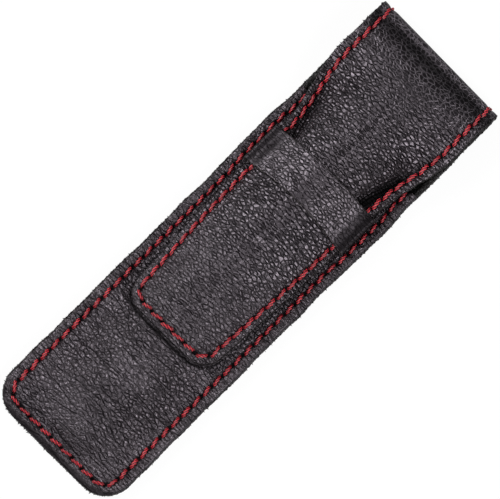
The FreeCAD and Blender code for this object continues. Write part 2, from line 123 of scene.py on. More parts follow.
def smooth_step(share: Array) -> Array:
    """Ease a share from 0 to 1 with soft ends."""
    share = np.clip(share, 0.0, 1.0)
    return share * share * (3.0 - 2.0 * share)


def rising(x: Array, start: float, reach: float) -> Array:
    """Give 0 before a start, and ease to 1 within a reach after it."""
    return smooth_step((x - start) / reach)


def falling(x: Array, end: float, reach: float) -> Array:
    """Ease from 1 to 0 within a reach before an end, and give 0 after it."""
    return smooth_step((end - x) / reach)


def at_edge(inset: Array, reach: float) -> Array:
    """Give 1 at a cut edge, falling off within a reach."""
    return falling(inset, reach, reach)


def between(pair: Span, share: Array) -> Array:
    """Run evenly from the first value of a pair to the second."""
    return pair[0] + (pair[1] - pair[0]) * share


def hump(distance: Array, reach: Array | float) -> Array:
    """Give a soft bell that is 1 at no distance."""
    return np.exp(-((distance / reach) ** 2))


@dataclass(frozen=True)
class Waves:
    """Smooth irregular waves over the sleeve, about as high as their height."""

    height: float
    length: float
    seed: int
    count: int = 7
    stretch: Span = (0.6, 1.6)

    def at(self, x: Array, y: Array | float = 0.0) -> Array:
        """Give the level of the waves.

        Args:
            x: Along the sleeve.
            y: Across it.

        Returns:
            The level.
        """
        draw = np.random.default_rng(self.seed)
        total = np.zeros(np.broadcast(x, y).shape)
        for _ in range(self.count):
            heading, phase = draw.uniform(0.0, math.tau, 2)
            turns = math.tau / (self.length * draw.uniform(*self.stretch))
            total += np.sin((x * math.cos(heading) + y * math.sin(heading)) * turns + phase)
        return self.height * total / math.sqrt(self.count)


def ease_through(x: Array, places: tuple[float, ...], values: tuple[float, ...]) -> Array:
    """Run a smooth curve without overshoot through a few points.

    Args:
        x: Where the curve is wanted.
        places: The points' places, rising.
        values: The points' values.

    Returns:
        The curve's value at each x, level beyond the first and last point.
    """
    steps = np.diff(places)
    rates = np.diff(values) / steps
    slopes = np.zeros(len(places))
    for index in range(1, len(places) - 1):
        before, after = rates[index - 1], rates[index]
        if before * after > 0.0:
            slopes[index] = 2.0 * before * after / (before + after)
    slopes[-1] = rates[-1]
    x = np.clip(x, places[0], places[-1])
    span = np.clip(np.searchsorted(places, x, side="right") - 1, 0, len(steps) - 1)
    t = (x - np.take(places, span)) / steps[span]
    start = (1.0 + 2.0 * t) * (1.0 - t) ** 2 * np.take(values, span)
    start_slope = t * (1.0 - t) ** 2 * steps[span] * slopes[span]
    end = t * t * (3.0 - 2.0 * t) * np.take(values, span + 1)
    end_slope = t * t * (t - 1.0) * steps[span] * slopes[span + 1]
    return start + start_slope + end + end_slope


def stack(x: Array, y: Array | float, z: Array | float) -> Array:
    """Join three grids of coordinates into one grid of points."""
    return np.stack(np.broadcast_arrays(x, y, z), axis=-1)


def unit(vectors: Array) -> Array:
    """Bring the vectors of a list to length 1."""
    return vectors / np.linalg.norm(vectors, axis=1)[:, None]


def run_lengths(points: Array) -> Array:
    """Measure along a line of points, from its first point to each."""
    return np.concatenate([[0.0], np.cumsum(np.hypot(*np.diff(points, axis=0).T))])


def at_lengths(marks: Array, reach: Array, points: Array) -> Array:
    """Find the places on a line of points at some lengths along it."""
    return np.column_stack([np.interp(marks, reach, column) for column in points.T])


def level_skin(level: float) -> Skin:
    """Give a flat skin."""
    return lambda x, y: np.full(np.shape(x), level)


def skin_normals(skin: Skin, x: Array, y: Array, step: float = 0.15) -> Array:
    """Give the upward normals of a skin.

    Args:
        skin: Level of the skin.
        x: Along the sleeve.
        y: Across it.
        step: How far to each side the slope is taken.

    Returns:
        One normal for each place, of length 1.
    """
    slope_x = (skin(x + step, y) - skin(x - step, y)) / (2.0 * step)
    slope_y = (skin(x, y + step) - skin(x, y - step)) / (2.0 * step)
    return unit(stack(-slope_x, -slope_y, 1.0))


def rounded_drop(inset: Array, radius: float) -> Array:
    """Give how far a skin falls towards an edge rounded by wear."""
    short = np.clip(radius - inset, 0.0, radius)
    return radius - np.sqrt(radius**2 - short**2)


def box_mm(node: str) -> tuple[Array, Array]:
    """Give a node's lowest and highest corners in millimetres."""
    low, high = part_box(node)
    return np.array(low) / MM, np.array(high) / MM


@dataclass(frozen=True)
class Layout:
    """Places and levels that the pieces share, read from the frame."""

    closed_end: float
    fold_x: float
    nose_x: float
    half: float
    fold_half: float
    fold_top: float
    back_top: float
    lining_low: float
    floor: float
    mouth: float
    strap_start: float
    strap_end: float
    tip: float

    @classmethod
    def from_frame(cls) -> "Layout":
        """Read the places from the nodes' boxes.

        Returns:
            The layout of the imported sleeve.
        """
        back_low, back_high = box_mm("back_panel")
        lining_low, lining_high = box_mm("back_lining")
        fold_high = box_mm("fold_outer")[1]
        strap_low, strap_high = box_mm("keeper_strap")
        return cls(
            closed_end=back_low[0],
            fold_x=back_high[0],
            nose_x=fold_high[0],
            half=back_high[1],
            fold_half=fold_high[1],
            fold_top=fold_high[2],
            back_top=back_high[2],
            lining_low=lining_low[2],
            floor=lining_high[2],
            mouth=box_mm("front_panel")[1][0],
            strap_start=strap_low[0],
            strap_end=strap_high[0],
            tip=box_mm("flap_outer")[0][0],
        )

    @property
    def strap_middle(self) -> float:
        """Middle of the strap along the sleeve."""
        return (self.strap_start + self.strap_end) / 2.0

    @property
    def strap_width(self) -> float:
        """Width of the strap along the sleeve."""
        return self.strap_end - self.strap_start


@dataclass(frozen=True)
class Leathers:
    """Thicknesses, and heights of the skins above the pocket's inner skin, square to it."""

    outer: float
    lining: float
    front: float = 1.4
    strap: float = 1.2
    glue: float = 0.05
    flap_gap: float = 0.6
    strap_gap: float = 0.4

    @property
    def flap_lining_low(self) -> float:
        """Underside of the flap's lining."""
        return self.front + self.flap_gap

    @property
    def flap_low(self) -> float:
        """Underside of the flap's outer leather."""
        return self.flap_lining_low + self.lining + self.glue

    @property
    def flap_high(self) -> float:
        """Upper skin of the flap."""
        return self.flap_low + self.outer

    @property
    def strap_low(self) -> float:
        """Underside of the strap."""
        return self.flap_high + self.strap_gap

    @property
    def strap_high(self) -> float:
        """Upper skin of the strap."""
        return self.strap_low + self.strap


@dataclass(frozen=True)
class Dome:
    """The pocket's cross-section: round crown, straight flanks and a hollow foot on a flat flange."""

    half: float
    floor: float
    crown_radius: float = 10.0
    foot_radius: float = 8.0
    flank_angle: float = math.radians(34.0)
    least_share: float = 0.001

    def skin(self, y: Array, height: float, share: Array | float, lift: Array | float = 0.0) -> Array:
        """Give the level of a skin that runs at a height above the pocket's inner skin.

        Args:
            y: Across the sleeve.
            height: Height above the inner skin, square to it.
            share: Share of the full flank angle.
            lift: How far the foot is raised.

        Returns:
            The level.
        """
        angle = np.clip(share, self.least_share, 1.0) * self.flank_angle
        across = np.abs(y)
        crown = self.crown_radius + height
        foot = self.foot_radius - height
        both = self.crown_radius + self.foot_radius
        base = self.floor + lift
        run = self.half - both * np.sin(angle)
        centre = base + self.foot_radius - both * np.cos(angle) + run * np.tan(angle)
        crown_y = crown * np.sin(angle)
        foot_y = self.half - foot * np.sin(angle)
        on_crown = centre + np.sqrt(np.maximum(crown**2 - across**2, 0.0))
        on_flank = centre + crown * np.cos(angle) - np.tan(angle) * (across - crown_y)
        inside = np.clip(self.half - across, 0.0, foot)
        on_foot = base + self.foot_radius - np.sqrt(foot**2 - inside**2)
        level = np.where(across < crown_y, on_crown, on_flank)
        return np.where(across > foot_y, on_foot, level)


@dataclass(frozen=True)
class RoundedEnd:
    """A strip in plan: a straight or bowed end with round corners, and sides that follow a half width.

    The bow fades out within a few corner radii of the end.
    """

    end: float
    corner: float
    side: Callable[[Array], Array]
    bow: float = 0.0
    bow_off: Span = (4.0, 3.0)
    least_turns: int = 4

    @property
    def corner_x(self) -> float:
        """Where the corners' arcs meet the sides."""
        return self.end + self.corner

    @property
    def corner_y(self) -> float:
        """Where the corners' arcs meet the end."""
        return float(self.side(np.array(self.corner_x))) - self.corner

    def bulge(self, x: Array, y: Array) -> Array:
        """Give how far the strip is drawn out towards its bowed end."""
        across = np.clip(np.abs(y) / (self.corner_y + self.corner), 0.0, 1.0)
        return self.bow * (1.0 - across**2) * falling((x - self.end) / self.corner, *self.bow_off)

    def half_at(self, x: Array) -> Array:
        """Give the half width, corners included."""
        rounded = self.corner_y + np.sqrt(self.corner**2 - np.clip(self.corner_x - x, 0.0, self.corner) ** 2)
        return np.where(x < self.corner_x, rounded, self.side(x))

    def inset(self, x: Array, y: Array) -> Array:
        """Measure how far inside the outline a place is.

        Args:
            x: Along the sleeve.
            y: Across it.

        Returns:
            The distance at each place, below 0 outside the outline.
        """
        across = np.abs(y)
        x = x + self.bulge(x, y)
        plain = np.minimum(x - self.end, self.side(x) - across)
        corner = self.corner - np.hypot(self.corner_x - x, across - self.corner_y)
        in_corner = (x < self.corner_x) & (across > self.corner_y)
        return np.where(in_corner, corner, plain)

    def path(self, stop: float, step: float = 0.1) -> Array:
        """Trace the outline from the middle of the end to a stop on the +Y side.

        Args:
            stop: Where the line ends along the sleeve.
            step: Distance from point to point.

        Returns:
            The line's points in plan.
        """
        across = np.arange(0.0, self.corner_y, step)
        straight = np.column_stack([np.full(len(across), self.end), across])
        turn = np.linspace(0.0, QUARTER_TURN, max(self.least_turns, round(self.corner / step)))
        arc_x = self.corner_x - self.corner * np.cos(turn)
        arc = np.column_stack([arc_x, self.corner_y + self.corner * np.sin(turn)])
        along = np.arange(self.corner_x + step, stop, step)
        line = np.vstack([straight, arc, np.column_stack([along, self.side(along)])])
        line[:, 0] -= self.bulge(*line.T)
        return line


@dataclass(frozen=True)
class Seam:
    """A row of stitches round one end of a strip, alike on both sides."""

    outline: RoundedEnd
    stop: float
    pitch: float
    stitch: float
    fade: float = 2.0
    probe: float = 0.2
    hole_length: float = 1.25
    hole_end: float = 3.0

    def places(self, offset: float) -> tuple[Array, Array]:
        """Space marks one pitch apart along the row.

        Args:
            offset: Distance of the first mark from the middle of the end.

        Returns:
            The marks in plan, and the row's heading at each, round the end from -Y to +Y.
        """
        line = self.outline.path(self.stop)
        reach = run_lengths(line)
        marks = np.arange(offset, reach[-1], self.pitch)
        before, spots, after = (
            at_lengths(marks + shift, reach, line) for shift in (-self.probe, 0.0, self.probe))
        heading = unit(after - before)
        first = 1 if offset == 0.0 else 0
        if first:
            heading[0] = (0.0, 1.0)
        return (np.vstack([spots, spots[first:] * ACROSS]),
                np.vstack([heading, -heading[first:] * ACROSS]))

    def groove(self, x: Array, y: Array, depth: float, reach: float = 0.75) -> Array:
        """Give how far the thread draws the leather down along the row."""
        there = falling(x, self.stop + self.fade, self.fade)
        return depth * hump(self.outline.inset(x, y), reach) * there

    def holes(self, x: Array, y: Array, reach: float = 0.66) -> Array:
        """Mark the needle holes between the stitches.

        Args:
            x: Along the sleeve.
            y: Across it.
            reach: Half the width of a hole.

        Returns:
            1 in the middle of a hole, falling off round it.
        """
        total = np.zeros(x.shape)
        limit = self.hole_end * reach
        spots, headings = self.places(self.pitch / 2.0)
        for (hole_x, hole_y), (to_x, to_y) in zip(spots, headings):
            near = (np.abs(x - hole_x) < limit) & (np.abs(y - hole_y) < limit)
            away_x, away_y = x[near] - hole_x, y[near] - hole_y
            along = (away_x * to_x + away_y * to_y) / self.hole_length
            across = away_y * to_x - away_x * to_y
            total[near] = np.maximum(total[near], hump(np.hypot(along, across), reach))
        return total


@dataclass(frozen=True)
class Rim:
    """How a cut edge bulges and frays."""

    rings: int = 3
    bulge: float = 0.12
    fray: float = 0.17
    wave: float = 1.2
    seed: int = 5
    ring_shift: float = 9.0
    slope_share: float = 0.3


@dataclass
class Shell:
    """A closed sheet of leather between two skins on one grid of rows and columns."""

    name: str
    top: Array
    bottom: Array
    rim: Rim = Rim()
    marks: dict[Mark, Array] = field(default_factory=dict)
    sharp_angle: float = math.radians(50.0)
    least_length: float = 1e-6

    def __post_init__(self) -> None:
        """List the rows and columns of the grid's border, once round."""
        rows, columns = self.top.shape[:2]
        loop = [(row, 0) for row in range(rows)]
        loop += [(rows - 1, column) for column in range(1, columns)]
        loop += [(row, columns - 1) for row in range(rows - 2, -1, -1)]
        loop += [(0, column) for column in range(columns - 2, 0, -1)]
        self.border = tuple(np.array(loop).T)

    def rings(self) -> list[Array]:
        """Give the points of the cut edge.

        Returns:
            The edge's rings of points, from the top skin down.
        """
        rim, border = self.rim, self.border
        rows, columns = self.top.shape[:2]
        inner_row = np.clip(border[0], 1, rows - 2)
        inner_column = np.clip(border[1], 1, columns - 2)
        middle = (self.top + self.bottom) / 2.0
        outward = middle[border] - middle[inner_row, inner_column]
        outward[:, 2] *= rim.slope_share
        outward /= np.maximum(np.linalg.norm(outward, axis=1), self.least_length)[:, None]
        high, low = self.top[border], self.bottom[border]
        fray = Waves(rim.fray, rim.wave, rim.seed)
        made = []
        for ring in range(1, rim.rings + 1):
            share = ring / (rim.rings + 1)
            place = high + (low - high) * share
            frayed = fray.at(place[:, 0], place[:, 1] + rim.ring_shift * ring)
            out = 4.0 * rim.bulge * share * (1.0 - share) + frayed
            made.append(place + outward * out[:, None])
        return made

    def faces(self) -> tuple[Array, int]:
        """Join the points of both skins and the cut edge.

        Returns:
            The corners of every face, and the number of faces on one skin.
        """
        rows, columns = self.top.shape[:2]
        count = rows * columns
        index = np.arange(count).reshape(rows, columns)
        corners = (index[:-1, :-1], index[1:, :-1], index[1:, 1:], index[:-1, 1:])
        upper = np.stack([corner.ravel() for corner in corners], axis=1)
        lower = upper[:, ::-1] + count
        border = index[self.border]
        levels = [border]
        levels += [2 * count + ring * len(border) + np.arange(len(border)) for ring in range(self.rim.rings)]
        levels.append(border + count)
        wall = [np.stack([a, b, np.roll(b, -1), np.roll(a, -1)], axis=1)
                for a, b in zip(levels[:-1], levels[1:])]
        return np.vstack([upper, lower, *wall]), len(upper)

    def mark(self, mesh: bpy.types.Mesh) -> None:
        """Write the marks of the upper skin and the cut edge into the mesh.

        Args:
            mesh: The sheet's mesh.
        """
        shape = self.top.shape[:2]
        for mark, values in {Mark.RAW: np.zeros(shape), **self.marks}.items():
            values = np.broadcast_to(values, shape)
            edge = np.tile(values[self.border], self.rim.rings)
            if mark is Mark.RAW:
                edge = np.ones(len(edge))
            full = np.concatenate([values.ravel(), np.zeros(values.size), edge])
            layer = mesh.attributes.new(mark.value, "FLOAT", "POINT")
            layer.data.foreach_set("value", full.astype(np.float32))

    def build(self, grain: Material, flesh: Material) -> Piece:
        """Make the mesh.

        Args:
            grain: Finish of the upper skin and the cut edge.
            flesh: Finish of the underside.

        Returns:
            The finished object, at the origin.
        """
        points = np.vstack([self.top.reshape(-1, 3), self.bottom.reshape(-1, 3), *self.rings()])
        faces, upper = self.faces()
        mesh = bpy.data.meshes.new(self.name)
        mesh.from_pydata((points * MM).tolist(), [], faces.tolist())
        finish = np.zeros(len(faces), dtype=np.int32)
        finish[upper:2 * upper] = 1
        mesh.materials.append(grain)
        mesh.materials.append(flesh)
        mesh.polygons.foreach_set("material_index", finish)
        mesh.shade_smooth()
        mesh.set_sharp_from_angle(angle=self.sharp_angle)
        self.mark(mesh)
        mesh.update()
        made = bpy.data.objects.new(self.name, mesh)
        bpy.context.scene.collection.objects.link(made)
        return made


@dataclass(frozen=True)
class StripGrid:
    """A grid over a strip: its border follows the outline, and its cells are halved along the stitches."""

    outline: RoundedEnd
    stop: float
    step: float
    seam: float
    edge_cells: tuple[float, ...] = (0.0, 0.12, 0.3, 0.55, 0.85, 1.2)
    edge_end: float = 1.5
    end_band: float = 1.0
    side_band: float = 1.2
    least_turns: int = 8
    least_cell: float = 1.0 / 6.0

    def points(self) -> tuple[Array, Array]:
        """Lay the grid.

        Returns:
            X and Y of the grid, rows along the strip and columns across it.
        """
        outline, step = self.outline, self.step
        turn = np.linspace(0.0, QUARTER_TURN, max(self.least_turns, round(2.0 * outline.corner / step)))
        corner = outline.end + outline.corner * (1.0 - np.cos(turn))
        rest = np.linspace(outline.corner_x, self.stop, round((self.stop - outline.corner_x) / step))
        band = outline.end + np.arange(self.seam - self.end_band, self.seam + self.end_band, step / 2.0)
        rows = np.unique(np.concatenate([corner, rest, band]))
        rows = rows[np.concatenate([[True], np.diff(rows) > step * self.least_cell])]
        half = outline.half_at(rows)
        most = float(np.max(half))
        start = max(self.seam - self.side_band, self.edge_end)
        band = np.arange(start, self.seam + self.side_band, step / 2.0)
        inner = np.linspace(band[-1], most, round((most - band[-1]) / step))
        columns = 1.0 - np.concatenate([self.edge_cells, band, inner[1:]]) / most
        columns = np.concatenate([-columns, columns[-2::-1]])
        x = np.repeat(rows[:, None], len(columns), axis=1)
        y = columns * half[:, None]
        return x - outline.bulge(x, y), y


@dataclass(frozen=True)
class Noise:
    """Soft noise: its scale per metre, how fine it goes, and the span of its values that counts."""

    scale: float
    detail: float
    span: Span = FULL


@dataclass(frozen=True)
class Cells:
    """Cells of a grain, and how a place lies among them."""

    grid: Socket
    edge: Socket
    near: bpy.types.bpy_prop_collection
    far: bpy.types.bpy_prop_collection
    facing: Socket


def pick(sockets: bpy.types.bpy_prop_collection, key: int | str) -> Socket:
    """Find a node's socket by its place, or by its name among those in use."""
    named = (socket for socket in sockets if socket.enabled and socket.name == key)
    return sockets[key] if isinstance(key, int) else next(named)


class Graph:
    """A node tree that is written one node at a time."""

    def __init__(self, tree: bpy.types.NodeTree) -> None:
        """Start from an empty tree."""
        self.tree = tree
        tree.nodes.clear()

    def node(self, kind: str, inputs: dict | None = None, **settings: object) -> bpy.types.Node:
        """Add a node.

        Args:
            kind: The node's type.
            inputs: Values or output sockets for its inputs, by name or place.
            settings: Properties of the node.

        Returns:
            The new node.
        """
        made = self.tree.nodes.new(kind)
        for name, value in settings.items():
            setattr(made, name, value)
        for name, value in (inputs or {}).items():
            socket = pick(made.inputs, name)
            if isinstance(value, Socket):
                self.tree.links.new(value, socket)
            else:
                socket.default_value = value
        return made

    def math(self, operation: str, *values: object) -> Socket:
        """Add one sum and give its result."""
        return self.node("ShaderNodeMath", dict(enumerate(values)), operation=operation).outputs[0]

    def product(self, *values: object) -> Socket:
        """Multiply some numbers, one after the other."""
        return reduce(partial(self.math, "MULTIPLY"), values)

    def rest(self, share: Socket) -> Socket:
        """Give what a share leaves of 1."""
        return self.math("SUBTRACT", 1.0, share)

    def add_scaled(self, value: object, factor: object, base: object) -> Socket:
        """Add a value times a factor to a base."""
        return self.math("MULTIPLY_ADD", value, factor, base)

    def vector(self, operation: str, *values: object) -> Socket:
        """Add one vector sum and give its result."""
        return self.node("ShaderNodeVectorMath", dict(enumerate(values)), operation=operation).outputs[0]

    def scaled(self, vector: Socket, factor: object) -> Socket:
        """Multiply a vector by a number."""
        inputs = {"Vector": vector, "Scale": factor}
        return self.node("ShaderNodeVectorMath", inputs, operation="SCALE").outputs[0]

    def ramp(self, value: object, span: Span, onto: Span = FULL) -> Socket:
        """Map a span of values onto a new one, with soft ends."""
        inputs = dict(zip(("Value", "From Min", "From Max", "To Min", "To Max"), (value, *span, *onto)))
        return self.node("ShaderNodeMapRange", inputs, interpolation_type="SMOOTHSTEP").outputs[0]

    def mix(self, share: object, first: object, second: object) -> Socket:
        """Mix two numbers."""
        return self.node("ShaderNodeMix", {0: share, 2: first, 3: second}).outputs[0]

    def blend(self, share: object, first: object, second: object) -> Socket:
        """Mix two colours."""
        return self.node("ShaderNodeMix", {0: share, 6: first, 7: second}, data_type="RGBA").outputs[2]

    @cached_property
    def place(self) -> Socket:
        """Where the surface is."""
        return self.node("ShaderNodeTexCoord").outputs["Object"]

    def attribute(self, mark: Mark) -> Socket:
        """Read a number that the mesh holds at its points."""
        return self.node("ShaderNodeAttribute", attribute_name=mark.value).outputs["Fac"]

    def noise(self, noise: Noise, output: str = "Fac", place: Socket | None = None) -> Socket:
        """Add soft noise."""
        inputs = {"Vector": place or self.place, "Scale": noise.scale, "Detail": noise.detail}
        return self.node("ShaderNodeTexNoise", inputs).outputs[output]

    def cloud(self, noise: Noise, onto: Span = FULL, place: Socket | None = None) -> Socket:
        """Add soft noise and map the span that counts onto a new one."""
        return self.ramp(self.noise(noise, place=place), noise.span, onto)

    def cells(self, sizes: Sizes, sway: Noise, wander: float, dimensions: str = "3D") -> Cells:
        """Divide the surface into cells with wandering borders.

        Args:
            sizes: Size of a cell along each axis.
            sway: Noise that the borders wander with.
            wander: How far they wander.
            dimensions: Whether the cells are flat or solid.

        Returns:
            The cells, with how far the nearest border faces along the sleeve.
        """
        shift = self.vector("SUBTRACT", self.noise(sway, "Color"), MIDDLE)
        warped = self.vector("ADD", self.place, self.scaled(shift, wander * MM))
        grid = self.vector("MULTIPLY", warped, tuple(1.0 / (size * MM) for size in sizes))
        edge, near, far = (
            self.node("ShaderNodeTexVoronoi", {"Vector": grid, "Scale": 1.0}, feature=feature,
                      voronoi_dimensions=dimensions).outputs
            for feature in ("DISTANCE_TO_EDGE", "F1", "F2"))
        apart = self.vector("SUBTRACT", far["Position"], near["Position"])
        apart = self.vector("MULTIPLY", apart, tuple(1.0 / size for size in sizes))
        across = self.node("ShaderNodeSeparateXYZ", {0: self.vector("NORMALIZE", apart)})
        return Cells(grid, edge["Distance"], near, far, self.math("ABSOLUTE", across.outputs["X"]))

    def surface(self, height: Socket, relief: float, inputs: dict, strength: float = 1.0) -> None:
        """End a material with a skin in fine relief.

        Args:
            height: Height of the relief.
            relief: How high it is in millimetres.
            inputs: What else the skin is set to.
            strength: How much of the relief shows.
        """
        bump = self.node("ShaderNodeBump", {"Height": height, "Strength": strength, "Distance": relief * MM})
        shader = self.node("ShaderNodeBsdfPrincipled", {**inputs, "Normal": bump.outputs[0]})
        self.node("ShaderNodeOutputMaterial", {"Surface": shader.outputs[0]})


def dye(red: float, green: float, blue: float) -> Colour:
    """Give an opaque colour."""
    return red, green, blue, 1.0


def new_material(name: str) -> tuple[Material, Graph]:
    """Start a node material.

    Args:
        name: The material's name.

    Returns:
        The material, and its empty tree.
    """
    material = bpy.data.materials.new(name)
    material.use_nodes = True
    return material, Graph(material.node_tree)


@dataclass(frozen=True)
class LeatherFinish:
    """Dyed leather: domed pebbles, dark lines that are darkest across the sleeve, partly as painted shade,
    long creases and a fibrous cut edge.
    """

    name: str
    tint: Colour = dye(0.0062, 0.0050, 0.0060)
    shade: Colour = dye(0.0022, 0.0018, 0.0021)
    sheen_tint: Colour = dye(1.0, 0.88, 0.99)
    cut_tint: Colour = dye(0.058, 0.052, 0.053)
    cut_shade: Colour = dye(0.003, 0.0025, 0.0025)
    gloss: float = 0.42
    matte: float = 0.6
    shine: float = 1.0
    relief: float = 0.27
    pebble: Sizes = (1.0, 1.65, 1.3)
    layers: tuple[Span, ...] = ((1.0, 0.95),)
    sway: Noise = Noise(420.0, 2.0)
    wander: float = 0.7
    dome_reach: float = 0.36
    facet: float = 0.2
    pores: Noise = Noise(3200.0, 3.0)
    pore_height: float = 0.1
    line_height: float = 0.5
    line_width: float = 0.3
    # Darkness kept by lines that run along the sleeve; lines across it are darker, partly as painted shade
    # from the side lights.
    line_turn: float = 0.25
    luck: Noise = Noise(0.45, 0.0, (0.3, 0.6))
    luck_depth: float = 0.55
    regions: Noise = Noise(95.0, 2.0, (0.4, 0.6))
    unrest: float = 0.0
    fine_relief: float = 0.0
    fine_fade: float = 0.15
    patches: Noise = Noise(110.0, 3.0, (0.3, 0.7))
    patch_tone: float = 0.85
    pressed_relief: float = 0.1
    stamped_span: Span = (0.55, 1.0)
    stamped_tone: float = 0.2
    parted_span: Span = (0.2, 0.75)
    parted_tones: Span = (0.95, 0.12)
    fibres: Noise = Noise(1100.0, 4.0, (0.42, 0.64))
    painted_shade_span: Span = (0.3, 0.75)
    raw_and_shade_span: Span = (0.2, 0.9)
    raw_and_shade_matte: float = 0.9
    dulled_span: Span = (0.1, 0.8)
    dulled_shine: float = 0.1
    wrinkle: float = 0.0
    wrinkle_noise: Noise = Noise(260.0, 3.0)
    wrinkle_sway: float = 2.2
    wrinkle_span: Span = (-0.1, 0.9)
    crease: Sizes = (5.0, 26.0, 9.0)
    crease_depth: float = 0.0
    crease_sway: Noise = Noise(130.0, 4.0)
    crease_wander: float = 2.4
    crease_noise: Noise = Noise(160.0, 3.0, (0.36, 0.5))
    crease_facing: Span = (0.8, 0.97)
    crease_width: float = 0.055

    def material(self) -> Material:
        """Build the finish.

        Returns:
            The material.
        """
        material, graph = new_material(self.name)
        height, dome, line = self.grain(graph)
        pressed, raw, painted_shade = (graph.attribute(mark) for mark in (Mark.PRESSED, Mark.RAW, Mark.DEEP))
        # Raw cut edges and painted shade are both rougher and less shiny.
        raw_and_shade = graph.math("MAXIMUM", raw, painted_shade)
        patch = graph.cloud(self.patches)
        stamped = graph.ramp(pressed, self.stamped_span, (1.0, self.stamped_tone))
        tone = graph.product(line, stamped, graph.ramp(patch, FULL, (self.patch_tone, 1.0)))
        # Over the bend the pebbles part: light lines round darkened middles, partly painted shade.
        parted = graph.ramp(dome, self.parted_span, self.parted_tones)
        tone = graph.mix(graph.attribute(Mark.STRETCH), tone, parted)
        fibre = graph.cloud(self.fibres)
        colour = graph.blend(tone, self.shade, self.tint)
        colour = graph.blend(raw, colour, graph.blend(fibre, self.cut_shade, self.cut_tint))
        # Painted shade darkens the colour towards black.
        colour = graph.blend(graph.ramp(painted_shade, self.painted_shade_span), colour, BLACK)
        height = graph.product(height, graph.ramp(pressed, FULL, (1.0, self.pressed_relief)))
        rough = graph.ramp(line, FULL, (self.matte, self.gloss))
        rough = graph.math("MAXIMUM", rough, graph.ramp(raw_and_shade, self.raw_and_shade_span, (0.0, self.raw_and_shade_matte)))
        dulled = graph.ramp(raw_and_shade, self.dulled_span, (1.0, self.dulled_shine))
        graph.surface(graph.mix(raw, height, fibre), self.relief, {
            "Base Color": colour, "Roughness": rough, "Specular Tint": self.sheen_tint,
            "Specular IOR Level": graph.product(tone, self.shine, dulled)})
        return material

    def grain(self, graph: Graph) -> tuple[Socket, Socket, Socket]:
        """Add all layers of the grain, the creases and the wrinkles.

        Args:
            graph: The material's tree.

        Returns:
            The height of the skin, the height of its main pebbles, and its lines, dark where they are cut.
        """
        dome, line = self.pebbles(graph, *self.layers[0])
        if self.crease_depth:
            line = graph.math("MINIMUM", line, self.creases(graph))
        if self.wrinkle:
            line = graph.product(line, self.wrinkles(graph))
        height = graph.add_scaled(graph.noise(self.pores), self.pore_height, dome)
        height = graph.add_scaled(line, self.line_height, height)
        fine = graph.attribute(Mark.FINE)
        line = graph.add_scaled(graph.rest(line), graph.product(fine, self.fine_fade), line)
        fine = graph.math("MAXIMUM", fine, self.fine_relief)
        for scale, depth in self.layers[1:]:
            more_dome, more_line = self.pebbles(graph, scale, depth)
            extra = graph.product(graph.math("ADD", more_dome, more_line), scale)
            height = graph.add_scaled(extra, fine, height)
            line = graph.product(line, more_line)
        return height, dome, line

    def pebbles(self, graph: Graph, scale: float, line_depth: float) -> tuple[Socket, Socket]:
        """Add one layer of the grain.

        Args:
            graph: The material's tree.
            scale: Size of the layer's pebbles as a share of the finish's pebble.
            line_depth: How dark the layer's lines are.

        Returns:
            The pebbles' height, and the lines between them, darkest where they run across the sleeve: partly
            the grain's own lay and partly painted shade from the side lights.
        """
        sizes = tuple(scale * size for size in self.pebble)
        cells = graph.cells(sizes, self.sway, scale * self.wander)
        short = graph.rest(graph.math("MINIMUM", graph.math("DIVIDE", cells.edge, self.dome_reach), 1.0))
        dome = graph.rest(graph.product(short, short))
        lean = graph.vector("SUBTRACT", cells.near["Color"], MIDDLE)
        away = graph.vector("SUBTRACT", cells.grid, cells.near["Position"])
        tilt = graph.node("ShaderNodeVectorMath", {0: lean, 1: away}, operation="DOT_PRODUCT")
        height = graph.add_scaled(tilt.outputs["Value"], self.facet, dome)
        middle = graph.vector("ADD", cells.far["Position"], cells.near["Position"])
        depth = graph.product(
            graph.ramp(cells.facing, FULL, (self.line_turn, 1.0)),
            graph.cloud(self.luck, (self.luck_depth, 1.0), middle),
            graph.cloud(self.regions, (1.0 - self.unrest, 1.0)),
            line_depth)
        cut = graph.rest(graph.ramp(cells.edge, (0.0, self.line_width)))
        return height, graph.rest(graph.product(cut, depth))

    def wrinkles(self, graph: Graph) -> Socket:
        """Add wrinkles side by side along the folds that the mesh marks.

        Args:
            graph: The material's tree.

        Returns:
            A share that is dark in a wrinkle and 1 beside it.
        """
        sway = graph.noise(self.wrinkle_noise)
        across = graph.add_scaled(sway, self.wrinkle_sway, graph.attribute(Mark.FOLD_DISTANCE))
        wave = graph.math("SINE", graph.product(across, math.tau / self.wrinkle))
        cut = graph.product(graph.ramp(wave, self.wrinkle_span), graph.attribute(Mark.FOLD_SHARE))
        return graph.rest(cut)

    def creases(self, graph: Graph) -> Socket:
        """Add long wandering creases.

        Args:
            graph: The material's tree.

        Returns:
            A share that is dark on a crease and 1 beside it.
        """
        cells = graph.cells(self.crease, self.crease_sway, self.crease_wander, "2D")
        depth = graph.product(graph.cloud(self.crease_noise, (0.0, self.crease_depth)),
                              graph.ramp(cells.facing, self.crease_facing))
        cut = graph.rest(graph.ramp(cells.edge, (0.0, self.crease_width)))
        return graph.rest(graph.product(cut, depth))


